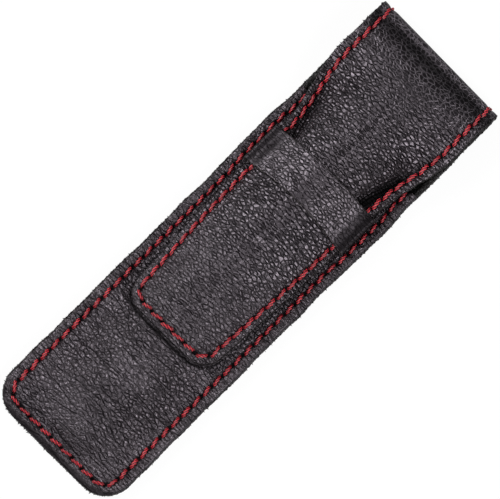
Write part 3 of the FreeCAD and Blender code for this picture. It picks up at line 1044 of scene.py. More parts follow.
@dataclass(frozen=True)
class LiningFinish:
    """Thin matte leather or a flesh side, with a short nap over a fine grain."""

    name: str
    tint: Colour = dye(0.012, 0.0105, 0.011)
    shade: Colour = dye(0.004, 0.0035, 0.0037)
    relief: float = 0.06
    matte: float = 0.92
    gloss: float = 0.76
    rough_span: Span = (0.2, 0.8)
    shine: float = 0.2
    painted_shade_span: Span = (0.35, 0.8)
    painted_shade_shine: float = 0.03
    nap: Noise = Noise(2200.0, 4.0)
    patches: Noise = Noise(150.0, 2.0, (0.3, 0.7))
    patch_tones: Span = (0.8, 1.2)
    tone_span: Span = (0.3, 0.7)
    grain: float = 1.1
    grain_share: float = 0.0
    grain_reach: float = 0.3
    line_reach: float = 0.25
    line_depth: float = 0.5

    def material(self) -> Material:
        """Build the finish.

        Returns:
            The material.
        """
        material, graph = new_material(self.name)
        nap = graph.noise(self.nap)
        cell = graph.node("ShaderNodeTexVoronoi", {"Vector": graph.place, "Scale": 1.0 / (self.grain * MM)},
                          feature="DISTANCE_TO_EDGE").outputs["Distance"]
        height = graph.add_scaled(graph.ramp(cell, (0.0, self.grain_reach)), self.grain_share, nap)
        line = (1.0 - self.line_depth * self.grain_share, 1.0)
        tone = graph.product(
            nap,
            graph.cloud(self.patches, self.patch_tones),
            graph.ramp(cell, (0.0, self.line_reach), line))
        colour = graph.blend(graph.ramp(tone, self.tone_span), self.shade, self.tint)
        # Painted shade turns the lining black and takes away its shine.
        painted_shade = graph.ramp(graph.attribute(Mark.DEEP), self.painted_shade_span)
        graph.surface(height, self.relief, {
            "Base Color": graph.blend(painted_shade, colour, BLACK),
            "Roughness": graph.ramp(nap, self.rough_span, (self.matte, self.gloss)),
            "Specular IOR Level": graph.ramp(painted_shade, FULL, (self.shine, self.painted_shade_shine))})
        return material


@dataclass(frozen=True)
class ThreadFinish:
    """Waxed twisted thread, with painted shade between its plies and towards its ends, and a painted
    highlight along the plies' ridges.
    """

    name: str
    tint: Colour = dye(0.28, 0.005, 0.013)
    # Colour of the painted highlight along the plies' ridges.
    light: Colour = dye(0.68, 0.045, 0.062)
    # Colour of the painted shade between the plies and towards the ends.
    shade: Colour = dye(0.05, 0.001, 0.003)
    strands: Noise = Noise(2600.0, 3.0)
    patches: Noise = Noise(240.0, 1.0, (0.35, 0.65))
    ridge_span: Span = (0.05, 0.9)
    highlight_span: Span = (0.6, 1.0)
    end_span: Span = (0.15, 0.9)
    end_shade: float = 0.85
    rough_span: Span = (0.2, 0.8)
    matte: float = 0.6
    gloss: float = 0.42
    shine: float = 0.35
    relief: float = 0.08
    strength: float = 0.8

    def material(self) -> Material:
        """Build the finish.

        Returns:
            The material.
        """
        material, graph = new_material(self.name)
        strand = graph.noise(self.strands)
        ridge = graph.attribute(Mark.RIDGE)
        patch = graph.cloud(self.patches)
        # Painted shade between the plies.
        colour = graph.blend(graph.ramp(ridge, self.ridge_span), self.shade, self.tint)
        # Painted highlight along the ridges, broken up by noise.
        colour = graph.blend(graph.product(graph.ramp(ridge, self.highlight_span), patch), colour, self.light)
        # Painted shade towards the ends, where the thread dives into its holes.
        end = graph.ramp(graph.attribute(Mark.END), self.end_span, (0.0, self.end_shade))
        graph.surface(strand, self.relief, {
            "Base Color": graph.blend(end, colour, self.shade),
            "Roughness": graph.ramp(strand, self.rough_span, (self.matte, self.gloss)),
            "Specular IOR Level": self.shine}, self.strength)
        return material


class NodeTree:
    """A geometry tree with named inputs, run once on an object and turned into its plain mesh."""

    def __init__(self, name: str, sizes: tuple[str, ...]) -> None:
        """Make the tree's interface.

        Args:
            name: The tree's name.
            sizes: Names of its sizes; a seed and a material follow them.
        """
        self.tree = bpy.data.node_groups.new(name, "GeometryNodeTree")
        self.tree.is_modifier = True
        self.graph = Graph(self.tree)
        face = self.tree.interface
        face.new_socket("Geometry", in_out="OUTPUT", socket_type="NodeSocketGeometry")
        face.new_socket("Geometry", in_out="INPUT", socket_type="NodeSocketGeometry")
        kinds = {label: "NodeSocketFloat" for label in sizes}
        kinds |= {"Seed": "NodeSocketInt", "Material": "NodeSocketMaterial"}
        self.keys = {label: face.new_socket(label, in_out="INPUT", socket_type=kind).identifier
                     for label, kind in kinds.items()}
        self.source = self.graph.node("NodeGroupInput").outputs

    def vector_of(self, name: str) -> Socket:
        """Read a vector that the points carry."""
        return self.graph.node("GeometryNodeInputNamedAttribute", {"Name": name},
                               data_type="FLOAT_VECTOR").outputs["Attribute"]

    def store(self, geometry: Socket, mark: Mark, value: Socket) -> Socket:
        """Keep a number at the points of a curve."""
        inputs = {"Geometry": geometry, "Name": mark.value, "Value": value}
        return self.graph.node("GeometryNodeStoreNamedAttribute", inputs, data_type="FLOAT").outputs[0]

    def random(self, least: object, most: object, shift: float = 0.0) -> Socket:
        """Draw a number or a vector for each point.

        Args:
            least: The lowest number, or the lowest numbers of the vector.
            most: The highest.
            shift: What is added to the tree's seed.

        Returns:
            The draw.
        """
        kind = "FLOAT_VECTOR" if isinstance(least, tuple) else "FLOAT"
        seed = self.graph.math("ADD", self.source["Seed"], shift) if shift else self.source["Seed"]
        drawn = self.graph.node("FunctionNodeRandomValue", {"Min": least, "Max": most, "Seed": seed},
                                data_type=kind)
        return pick(drawn.outputs, "Value")

    def close(self, points: Socket, shape: Socket, pose: Socket, scale: Socket, smooth: bool) -> None:
        """End the tree: a shape at every point, made real, shaded and given its material.

        Args:
            points: The points.
            shape: The shape.
            pose: How it is turned at each point.
            scale: How it is scaled there.
            smooth: True for smooth shading.
        """
        placed = self.graph.node("GeometryNodeInstanceOnPoints", {
            "Points": points, "Instance": shape, "Rotation": pose, "Scale": scale})
        real = self.graph.node("GeometryNodeRealizeInstances", {"Geometry": placed.outputs[0]})
        shaded = self.graph.node("GeometryNodeSetShadeSmooth", {
            "Geometry": real.outputs[0], "Shade Smooth": smooth})
        dressed = self.graph.node("GeometryNodeSetMaterial", {
            "Geometry": shaded.outputs[0], "Material": self.source["Material"]})
        self.graph.node("NodeGroupOutput", {0: dressed.outputs[0]})

    def apply(self, target: Piece, values: dict[str, object]) -> Piece:
        """Run the tree on an object and keep the result as its mesh.

        Args:
            target: Object whose mesh holds the places.
            values: Value of each named input.

        Returns:
            The same object with a plain mesh and no modifier.
        """
        modifier = target.modifiers.new(self.tree.name, "NODES")
        modifier.node_group = self.tree
        for label, value in values.items():
            modifier[self.keys[label]] = value
        target.update_tag()
        bpy.context.view_layer.update()
        depsgraph = bpy.context.evaluated_depsgraph_get()
        mesh = bpy.data.meshes.new_from_object(
            target.evaluated_get(depsgraph), preserve_all_data_layers=True, depsgraph=depsgraph)
        target.modifiers.clear()
        mesh.name = target.name
        target.data = mesh
        return target


def points_object(name: str, points: Array, vectors: dict[str, Array],
                  edges: list[tuple[int, int]] | None = None) -> Piece:
    """Make an object of bare points that carry vectors.

    Args:
        name: The object's name.
        points: Places in millimetres.
        vectors: A vector for each point, by attribute name.
        edges: Pairs of points that are joined, if any.

    Returns:
        The object, at the origin.
    """
    mesh = bpy.data.meshes.new(name)
    mesh.from_pydata((points * MM).tolist(), edges or [], [])
    for label, values in vectors.items():
        layer = mesh.attributes.new(label, "FLOAT_VECTOR", "POINT")
        layer.data.foreach_set("vector", values.astype(np.float32).ravel())
    made = bpy.data.objects.new(name, mesh)
    bpy.context.scene.collection.objects.link(made)
    return made


class StitchTree(NodeTree):
    """One twisted stitch laid at every point, along its heading and slanted to the row."""

    STEPS = 9
    END_POWER = 3.0
    PLIES = 3
    VALLEY = 0.7
    TAPER = 0.5
    JITTER = 0.07
    LEAST_SCALE = (0.93, 0.9, 0.92)
    MOST_SCALE = (1.06, 1.08, 1.12)

    def __init__(self) -> None:
        """Build the tree."""
        super().__init__("stitch_row", ("Length", "Radius", "Lay Turns", "Slant", "Arch", "Dive"))
        graph, source = self.graph, self.source
        line = graph.node("GeometryNodeCurvePrimitiveLine", {
            "Start": (-0.5, 0.0, 0.0), "End": (0.5, 0.0, 0.0)})
        line = graph.node("GeometryNodeResampleCurve", {"Curve": line.outputs[0], "Count": self.STEPS})
        factor = graph.node("GeometryNodeSplineParameter").outputs["Factor"]
        centred = graph.math("SUBTRACT", factor, 0.5)
        ends = graph.math("POWER", graph.math("ABSOLUTE", graph.product(centred, 2.0)), self.END_POWER)
        fall = graph.product(ends, graph.math("ADD", source["Arch"], source["Dive"]))
        place = graph.node("ShaderNodeCombineXYZ", {
            "X": graph.product(centred, source["Length"]), "Z": graph.math("SUBTRACT", source["Arch"], fall)})
        bowed = graph.node("GeometryNodeSetPosition", {
            "Geometry": line.outputs[0], "Position": place.outputs[0]})
        lay = graph.product(factor, source["Lay Turns"], math.tau)
        twisted = graph.node("GeometryNodeSetCurveTilt", {"Curve": bowed.outputs[0], "Tilt": lay})
        star = graph.node("GeometryNodeCurveStar", {
            "Points": self.PLIES, "Inner Radius": graph.product(source["Radius"], self.VALLEY),
            "Outer Radius": source["Radius"]}).outputs
        thread = graph.node("GeometryNodeCurveToMesh", {
            "Curve": self.store(twisted.outputs[0], Mark.END, ends),
            "Profile Curve": self.store(star["Curve"], Mark.RIDGE, star["Outer Points"]),
            "Scale": graph.add_scaled(ends, -self.TAPER, 1.0), "Fill Caps": True})
        facing = self.vector_of("facing")
        turned = graph.node("ShaderNodeVectorRotate", {
            "Vector": self.vector_of("heading"), "Axis": facing,
            "Angle": graph.math("ADD", source["Slant"], self.random(-self.JITTER, self.JITTER))},
            rotation_type="AXIS_ANGLE")
        pose = graph.node("FunctionNodeAxesToRotation", {
            "Primary Axis": turned.outputs[0], "Secondary Axis": facing},
            primary_axis="X", secondary_axis="Z")
        self.close(source["Geometry"], thread.outputs[0], pose.outputs[0],
                   self.random(self.LEAST_SCALE, self.MOST_SCALE), smooth=True)


class FibreTree(NodeTree):
    """Loose fibres along a cut edge, pointing out of it at random."""

    SIDES = 3
    LEAST_STRAY = (-1.0, -1.0, -1.0)
    MOST_STRAY = (1.0, 1.0, 1.0)
    LEAST_SCALE = (0.6, 0.6, 0.25)
    MOST_SCALE = (1.4, 1.4, 1.3)

    def __init__(self) -> None:
        """Build the tree."""
        super().__init__("edge_fibres", ("Spacing", "Length", "Thickness", "Rise", "Spread"))
        graph, source = self.graph, self.source
        line = graph.node("GeometryNodeMeshToCurve", {"Mesh": source["Geometry"]})
        points = graph.node("GeometryNodeCurveToPoints", {
            "Curve": line.outputs[0], "Length": source["Spacing"]}, mode="LENGTH")
        level = self.random(graph.product(source["Rise"], -1.0), source["Rise"])
        offset = graph.node("ShaderNodeCombineXYZ", {"Z": level})
        spread = graph.node("GeometryNodeSetPosition", {
            "Geometry": points.outputs["Points"], "Offset": offset.outputs[0]})
        stray = graph.scaled(self.random(self.LEAST_STRAY, self.MOST_STRAY, 1.0), source["Spread"])
        aim = graph.vector("ADD", self.vector_of("outward"), stray)
        pose = graph.node("FunctionNodeAlignRotationToVector", {"Vector": aim}, axis="Z")
        fibre = graph.node("GeometryNodeMeshCone", {
            "Vertices": self.SIDES, "Side Segments": 1, "Radius Top": 0.0,
            "Radius Bottom": source["Thickness"], "Depth": source["Length"]}, fill_type="NGON")
        self.close(spread.outputs[0], fibre.outputs[0], pose.outputs[0],
                   self.random(self.LEAST_SCALE, self.MOST_SCALE, 2.0), smooth=False)


@dataclass
class Thread:
    """The sewing thread, and how it lies."""

    finish: Material
    tree: StitchTree
    radius: float = 0.55
    lay_turns: float = 1.2
    slant: float = math.radians(11.0)
    tails: float = 0.9
    arch: float = 0.36
    dive: float = 0.5
    flush_arch: float = 0.1
    flush_dive: float = 0.3
    pitch: float = 4.18
    fold_inset: float = 2.95
    hole_shade: float = 0.9
    draw: float = 0.24
    back_draw: float = 0.7
    back_depth: float = 0.05
    lining_draw: float = 0.12
    lining_hole: float = 0.25

    def flush(self) -> "Thread":
        """Give the thread where it is drawn down flush with the leather."""
        return replace(self, arch=self.flush_arch, dive=self.flush_dive)

    def lay(self, name: str, points: Array, headings: Array, normals: Array, length: float,
            seed: int) -> Piece:
        """Lay one row of stitches.

        Args:
            name: The piece's name.
            points: Middles of the stitches.
            headings: Directions of the row.
            normals: Directions out of the leather.
            length: Length of a stitch.
            seed: Seed of their small differences.

        Returns:
            The row as one plain mesh.
        """
        across = np.sum(headings * normals, axis=1)[:, None]
        flat = unit(headings - normals * across)
        target = points_object(name, points, {"heading": flat, "facing": normals})
        return self.tree.apply(target, {
            "Length": (length + self.tails) * MM, "Radius": self.radius * MM, "Lay Turns": self.lay_turns,
            "Slant": self.slant, "Arch": self.arch * MM, "Dive": self.dive * MM, "Seed": seed,
            "Material": self.finish})

    def row(self, name: str, seam: Seam, skin: Skin, seed: int, below: bool = False,
            keep: Callable[[Array], Array] | None = None) -> Piece:
        """Lay a seam's stitches on a skin.

        Args:
            name: The piece's name.
            seam: The row in plan.
            skin: The level that the stitches lie on.
            seed: Seed of their small differences.
            below: True where the stitches show on the underside.
            keep: Chooses the stitches by their place along the sleeve.

        Returns:
            The row as one plain mesh.
        """
        spots, ways = seam.places(0.0)
        if keep is not None:
            kept = keep(spots[:, 0])
            spots, ways = spots[kept], ways[kept]
        x, y = spots.T
        normals = skin_normals(skin, x, y)
        slope = -(normals[:, 0] * ways[:, 0] + normals[:, 1] * ways[:, 1]) / normals[:, 2]
        headings = np.column_stack([ways, slope])
        facing = -normals if below else normals
        return self.lay(name, stack(x, y, skin(x, y)), headings, facing, seam.stitch, seed)


@dataclass(frozen=True)
class Fuzz:
    """Fibres that stand out of the cut edges."""

    finish: Material
    tree: FibreTree
    spacing: float = 0.11
    length: float = 0.5
    thickness: float = 0.1
    spread: float = 1.0
    step: float = 0.5
    root: float = 0.12
    tuft_spacing: float = 1.3
    tuft_length: float = 0.75
    tuft_thickness: float = 0.32

    def tufted(self) -> "Fuzz":
        """Give the few larger tufts between the fibres."""
        return replace(self, spacing=self.tuft_spacing, length=self.tuft_length,
                       thickness=self.tuft_thickness)

    def along(self, name: str, outline: RoundedEnd, stop: float, level: Skin, rise: float,
              seed: int, start: float | None = None) -> Piece:
        """Fray one outline.

        Args:
            name: The piece's name.
            outline: The cut edge in plan.
            stop: Where the edge ends.
            level: Level of the middle of the edge.
            rise: Half the height that the fibres take.
            seed: Seed of the fibres.
            start: Where the fraying begins on both sides, if not round the end.

        Returns:
            The fibres as one plain mesh.
        """
        line = outline.path(stop, self.step)
        line = np.vstack([line[:0:-1] * ACROSS, line])
        run = unit(np.gradient(line, axis=0))
        outward = np.column_stack([-run[:, 1], run[:, 0], np.zeros(len(line))])
        points = np.column_stack([line, level(line[:, 0], line[:, 1])]) - outward * self.root
        edges = [(index, index + 1) for index in range(len(line) - 1)
                 if start is None or line[index, 0] > start]
        target = points_object(name, points, {"outward": outward}, edges)
        return self.tree.apply(target, {
            "Spacing": self.spacing * MM, "Length": self.length * MM, "Thickness": self.thickness * MM,
            "Rise": rise * MM, "Spread": self.spread, "Seed": seed, "Material": self.finish})


@dataclass
class Kit:
    """What every sub-assembly is made with."""

    layout: Layout
    leathers: Leathers
    dome: Dome
    thread: Thread
    fuzz: Fuzz
    outer: Material
    flap: Material
    front: Material
    strap: Material
    lining: Material
    flesh: Material
    fine_step: float = 0.45
    coarse_step: float = 0.7


def settle(piece: Piece, slot: Slot, body: Body, *nodes: str) -> None:
    """Make a finished piece ride on its body and stand for its nodes.

    Args:
        piece: The piece.
        slot: Its material slot; not used.
        body: The body that it rides on.
        nodes: The nodes that it stands for, if any.
    """
    if nodes:
        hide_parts(*nodes)
    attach(piece, body.value)
    LOG.info("%s: %d faces on %s", piece.name, len(piece.data.polygons), body.value)


@dataclass
class Pocket:
    """Back, lining and domed front, sewn together round three sides."""

    kit: Kit
    tongue: RoundedEnd
    corner: float = 9.3
    strap_bulge: float = 0.4
    edge_waves: Waves = Waves(0.14, 11.0, 21)
    edge_fade: float = 8.0
    seam_corner: float = 5.0
    seam_inset: float = 3.4
    seam_end: float = 0.5
    seam_bow: float = 0.55
    bow_stitches: float = 1.5
    stitch: float = 2.8
    dome_start: float = 5.0
    dome_full: float = 32.0
    dome_ease: float = 2.1
    crown_height: float = 3.0
    broad_waves: Waves = Waves(0.16, 16.0, 31)
    small_waves: Waves = Waves(0.06, 5.5, 32)
    flange_waves: Waves = Waves(0.12, 7.0, 33)
    flare_reach: float = 2.4
    sink: float = 0.55
    sink_reach: float = 1.6
    fold_places: tuple[float, ...] = (12.0, 17.0, 20.5, 24.0, 27.5, 31.5, 37.0)
    fold_lines: Waves = Waves(0.7, 15.0, 80, 4)
    fold_strengths: Waves = Waves(0.5, 12.0, 90, 4)
    fold_strength: float = 0.6
    fold_stretch: float = 0.3
    fold_width: float = 0.65
    fold_depth: float = 0.2
    edge_radius: float = 0.8
    bevel: float = 1.7
    bevel_slope: float = 0.5
    side_bevel: float = 0.6
    side_fade: float = 4.0
    bevel_shade_fade: float = 0.35
    bevel_shade_full: float = 0.5
    bevel_shade_press: float = 0.85
    bevel_shade_dark: float = 0.14
    brow_highlight: float = 0.5
    brow_inset: float = 0.15
    brow_width: float = 0.3
    border_fade: float = 1.5
    border_shade: float = 0.2
    cut_reach: float = 0.9
    rubbing: float = 0.1
    rub_on: Span = (-2.0, 8.0)
    tongue_shadow_inset: float = -0.6
    tongue_shadow_shades: Span = (0.5, 0.75)
    tongue_shadow_widths: Span = (0.45, 0.65)
    furrow: float = 0.45
    furrow_reach: float = 0.9
    hole_depth: float = 0.4
    mouth_shade: float = 0.6
    mouth_reach: float = 3.5
    mouth_side: Span = (17.0, 2.0)
    light_edge: Span = (0.7, 0.8)
    back_hole: float = 0.2
    back_radius: float = 0.5
    back_cut: float = 0.7
    back_waves: Waves = Waves(0.05, 14.0, 35)
    lining_shade: float = 0.9
    lining_side: Span = (18.5, 1.5)
    lining_under: float = 1.0
    lining_cut: float = 0.3
    fibre_lift: float = 0.25
    fibre_margin: float = 0.35

    def __post_init__(self) -> None:
        """Work out the outlines and the seam."""
        layout = self.kit.layout
        self.outline = RoundedEnd(layout.closed_end, self.corner, self.side)
        seam_line = RoundedEnd(layout.closed_end + self.seam_inset, self.seam_corner, self.seam_side)
        self.seam = Seam(seam_line, layout.fold_x - self.seam_end, self.kit.thread.pitch, self.stitch)

    def taper(self, x: Array, start: float, end: float) -> Array:
        """Run a half width evenly from the closed end's corners to the fold."""
        corner_x = self.outline.corner_x
        return np.interp(x, (corner_x, self.kit.layout.fold_x), (start, end))

    def side(self, x: Array) -> Array:
        """Give the half width of the cut edge.

        Args:
            x: Along the sleeve.

        Returns:
            The half width.
        """
        layout = self.kit.layout
        bulge = self.strap_bulge * hump(x - layout.strap_middle, layout.strap_width)
        waves = self.edge_waves.at(x) * rising(x, self.outline.corner_x, self.edge_fade)
        return self.taper(x, layout.half, layout.fold_half) + bulge + waves

    def seam_side(self, x: Array) -> Array:
        """Give the half width of the row of stitches, bowed out beside the strap.

        Args:
            x: Along the sleeve.

        Returns:
            The half width.
        """
        layout, thread = self.kit.layout, self.kit.thread
        line = self.taper(x, layout.half - self.seam_inset, layout.fold_half - thread.fold_inset)
        reach = layout.strap_width / 2.0 + self.bow_stitches * thread.pitch
        return line + self.seam_bow * falling(np.abs(x - layout.strap_middle), reach, thread.pitch)

    def share(self, x: Array) -> Array:
        """Give the dome's share of its full flank angle, rising from the closed end."""
        way = (x - self.kit.layout.closed_end - self.dome_start) / (self.dome_full - self.dome_start)
        return 1.0 - (1.0 - np.clip(way, 0.0, 1.0)) ** self.dome_ease

    def front_skin(self, x: Array, y: Array) -> Array:
        """Give the level of the front's upper skin, without needle holes.

        Args:
            x: Along the sleeve.
            y: Across it.

        Returns:
            The level.
        """
        thickness = self.kit.leathers.front
        level = self.kit.dome.skin(y, thickness, self.share(x))
        crown = np.clip((level - self.kit.layout.floor - thickness) / self.crown_height, 0.0, 1.0)
        under = smooth_step(1.0 + self.tongue.inset(x, y) / self.sink_reach)
        relief = self.broad_waves.at(x, y) + self.small_waves.at(x, y)
        relief = relief - self.fold_depth * self.soft_folds(x, y) - self.sink * under
        flare = smooth_step(-self.seam.outline.inset(x, y) / self.flare_reach)
        groove = self.seam.groove(x, y, self.kit.thread.draw)
        return level + crown * relief + flare * self.flange_waves.at(x, y) - groove

    def soft_folds(self, x: Array, y: Array) -> Array:
        """Mark the soft folds that run across the front near its closed end.

        Args:
            x: Along the sleeve.
            y: Across it.

        Returns:
            1 along a fold, falling off beside it.
        """
        total = np.zeros(np.broadcast(x, y).shape)
        for number, place in enumerate(self.fold_places):
            lines, strengths = (replace(waves, seed=waves.seed + number)
                                for waves in (self.fold_lines, self.fold_strengths))
            line = self.kit.layout.closed_end + place + lines.at(0.0, y)
            there = np.clip(self.fold_strength + strengths.at(self.fold_stretch * x, y), 0.0, 1.0)
            total = np.maximum(total, hump(x - line, self.fold_width) * there)
        return total

    def at_end(self, x: Array) -> Array:
        """Give 1 at the closed end, falling to 0 where its corners end."""
        return falling(x, self.outline.corner_x, self.corner)

    def inside(self, inset: Array) -> Array:
        """Give 1 inside the light strip along the cut edge."""
        return rising(inset, *self.light_edge)

    def front_marks(self, x: Array, y: Array) -> dict[Mark, Array]:
        """Mark the front's cut edge and rubbed border, with painted shade on the bevel at the closed end and
        on the -Y side, a painted highlight along the bevel's top, and painted shade in the needle holes,
        along the stitch line, on the border, as the tongue's shadow and by the mouth.

        Args:
            x: Along the sleeve.
            y: Across it.

        Returns:
            The marks for the finish.
        """
        layout, inset, at_end = self.kit.layout, self.outline.inset(x, y), self.at_end(x)
        bevel = np.maximum(self.bevel * at_end, self.side_bevel * falling(y, 0.0, self.side_fade))
        # Painted shade on the sloped edge at the closed end and along the -Y side: pressed smooth and
        # darkened, with no raw cut colour.
        bevel_shade = smooth_step((bevel - inset) / self.bevel_shade_fade + 0.5)
        bevel_shade = bevel_shade * smooth_step(bevel / self.bevel_shade_full)
        # Painted highlight: a light line of raw colour along the top of the shaded bevel at the closed end.
        brow_highlight = self.brow_highlight * at_end * hump(inset - bevel - self.brow_inset, self.brow_width)
        border = falling(inset, self.seam_inset, self.border_fade)
        rubbed = self.rubbing * border * rising(x - layout.closed_end, *self.rub_on)
        at_tip = falling(x, self.tongue.corner_x, self.tongue.corner)
        # The tongue's painted shadow on the front round its edge, widest and darkest round its tip.
        tongue_shadow = hump(self.tongue.inset(x, y) - self.tongue_shadow_inset, between(self.tongue_shadow_widths, at_tip))
        # Painted shade on the flange by the mouth, under the flap's wings.
        mouth = rising(x, layout.mouth - self.mouth_reach, self.mouth_reach)
        mouth = mouth * rising(np.abs(y), *self.mouth_side) * self.inside(inset)
        cut = np.maximum(at_edge(inset, self.cut_reach), rubbed)
        # Painted shade: needle holes, the furrow along the stitches, the tongue's shadow, the mouth, the
        # border and the bevel.
        painted_shade = np.maximum.reduce([
            self.seam.holes(x, y, self.kit.thread.hole_shade),
            self.seam.groove(x, y, self.furrow, self.furrow_reach),
            between(self.tongue_shadow_shades, at_tip) * tongue_shadow,
            self.mouth_shade * mouth,
            self.border_shade * border,
            self.bevel_shade_dark * bevel_shade,
        ])
        return {Mark.RAW: np.maximum(cut * (1.0 - bevel_shade), brow_highlight), Mark.DEEP: painted_shade,
                Mark.PRESSED: self.bevel_shade_press * bevel_shade}

    def make_front(self) -> None:
        """Make the domed front."""
        kit = self.kit
        x, y = StripGrid(self.outline, kit.layout.mouth, kit.fine_step, self.seam_inset).points()
        inset = self.outline.inset(x, y)
        bevel = self.bevel_slope * self.at_end(x) * rounded_drop(inset, self.bevel)
        drop = np.maximum(rounded_drop(inset, self.edge_radius), bevel)
        top = self.front_skin(x, y) - self.hole_depth * self.seam.holes(x, y) - drop
        bottom = kit.dome.skin(y, 0.0, self.share(x))
        marks = self.front_marks(x, y)
        shell = Shell("front_leather", stack(x, y, top), stack(x, y, bottom), Rim(seed=41), marks)
        settle(shell.build(kit.front, kit.flesh), Slot.FRONT, Body.SLEEVE, "front_panel")

    def make_back(self) -> None:
        """Make the flat back and its lining."""
        layout, kit, thread = self.kit.layout, self.kit, self.kit.thread
        x, y = StripGrid(self.outline, layout.fold_x, kit.coarse_step, self.seam_inset).points()
        inset = self.outline.inset(x, y)
        holes = self.seam.holes(x, y)
        under = self.back_hole * holes + rounded_drop(inset, self.back_radius)
        under = under + self.seam.groove(x, y, thread.back_draw, self.furrow_reach)
        under = under + np.maximum(self.back_waves.height + self.back_waves.at(x, y), 0.0)
        # Painted shade in the needle holes.
        marks = {Mark.RAW: at_edge(inset, self.back_cut)[FLIPPED], Mark.DEEP: holes[FLIPPED]}
        over = stack(x, y, layout.back_top)
        shell = Shell("back_leather", stack(x, y, under)[FLIPPED], over[FLIPPED], Rim(seed=43), marks)
        settle(shell.build(kit.outer, kit.flesh), Slot.OUTER, Body.SLEEVE, "back_panel")
        # Painted shade on the lining beside the mouth, where the flap's wings shade it; joined with the
        # needle holes past the mouth, it also sinks the lining there.
        lee = self.lining_shade * rising(np.abs(y), *self.lining_side) * self.inside(inset)
        holes = np.maximum(holes, lee) * (x > layout.mouth - self.lining_under)
        groove = self.seam.groove(x, y, thread.lining_draw) * (x > layout.mouth)
        top = stack(x, y, layout.floor - thread.lining_hole * holes - groove)
        marks = {Mark.RAW: at_edge(inset, self.lining_cut), Mark.DEEP: holes}
        low = stack(x, y, layout.lining_low)
        shell = Shell("back_lining_leather", top, low, Rim(rings=1, seed=44), marks)
        settle(shell.build(kit.lining, kit.lining), Slot.LINING, Body.SLEEVE, "back_lining")

    def sewn_skin(self, x: Array, y: Array) -> Array:
        """Give the skin that the seam is sewn on: the front, and the lining past its mouth."""
        lining = self.kit.layout.floor - self.seam.groove(x, y, self.kit.thread.lining_draw)
        return np.where(x < self.kit.layout.mouth, self.front_skin(x, y), lining)

    def clear_of_mouth(self, x: Array) -> Array:
        """Choose the stitches that do not cross the front's mouth."""
        return np.abs(x - self.kit.layout.mouth) > self.stitch / 2.0 + self.kit.thread.radius

    def sew(self) -> None:
        """Sew the seam on both faces and fray the cut edges."""
        layout, thread, fuzz = self.kit.layout, self.kit.thread, self.kit.fuzz
        row = thread.row("pocket_stitches", self.seam, self.sewn_skin, seed=51, keep=self.clear_of_mouth)
        settle(row, Slot.THREAD, Body.SLEEVE, "pocket_seam_thread")
        sunk = level_skin(thread.back_draw + thread.back_depth)
        row = thread.flush().row("back_stitches", self.seam, sunk, seed=52, below=True)
        settle(row, Slot.THREAD, Body.SLEEVE, "back_seam_thread")
        middle = (layout.floor + self.kit.leathers.front - self.edge_radius) / 2.0
        level = level_skin(middle + self.fibre_lift)
        for name, kind, seed in (("sleeve_edge_fibres", fuzz, 61), ("sleeve_edge_tufts", fuzz.tufted(), 63)):
            fibres = kind.along(name, self.outline, layout.fold_x, level, middle - self.fibre_margin, seed)
            settle(fibres, Slot.OUTER, Body.SLEEVE)

    def build(self) -> None:
        """Make the whole pocket."""
        self.make_back()
        self.make_front()
        self.sew()


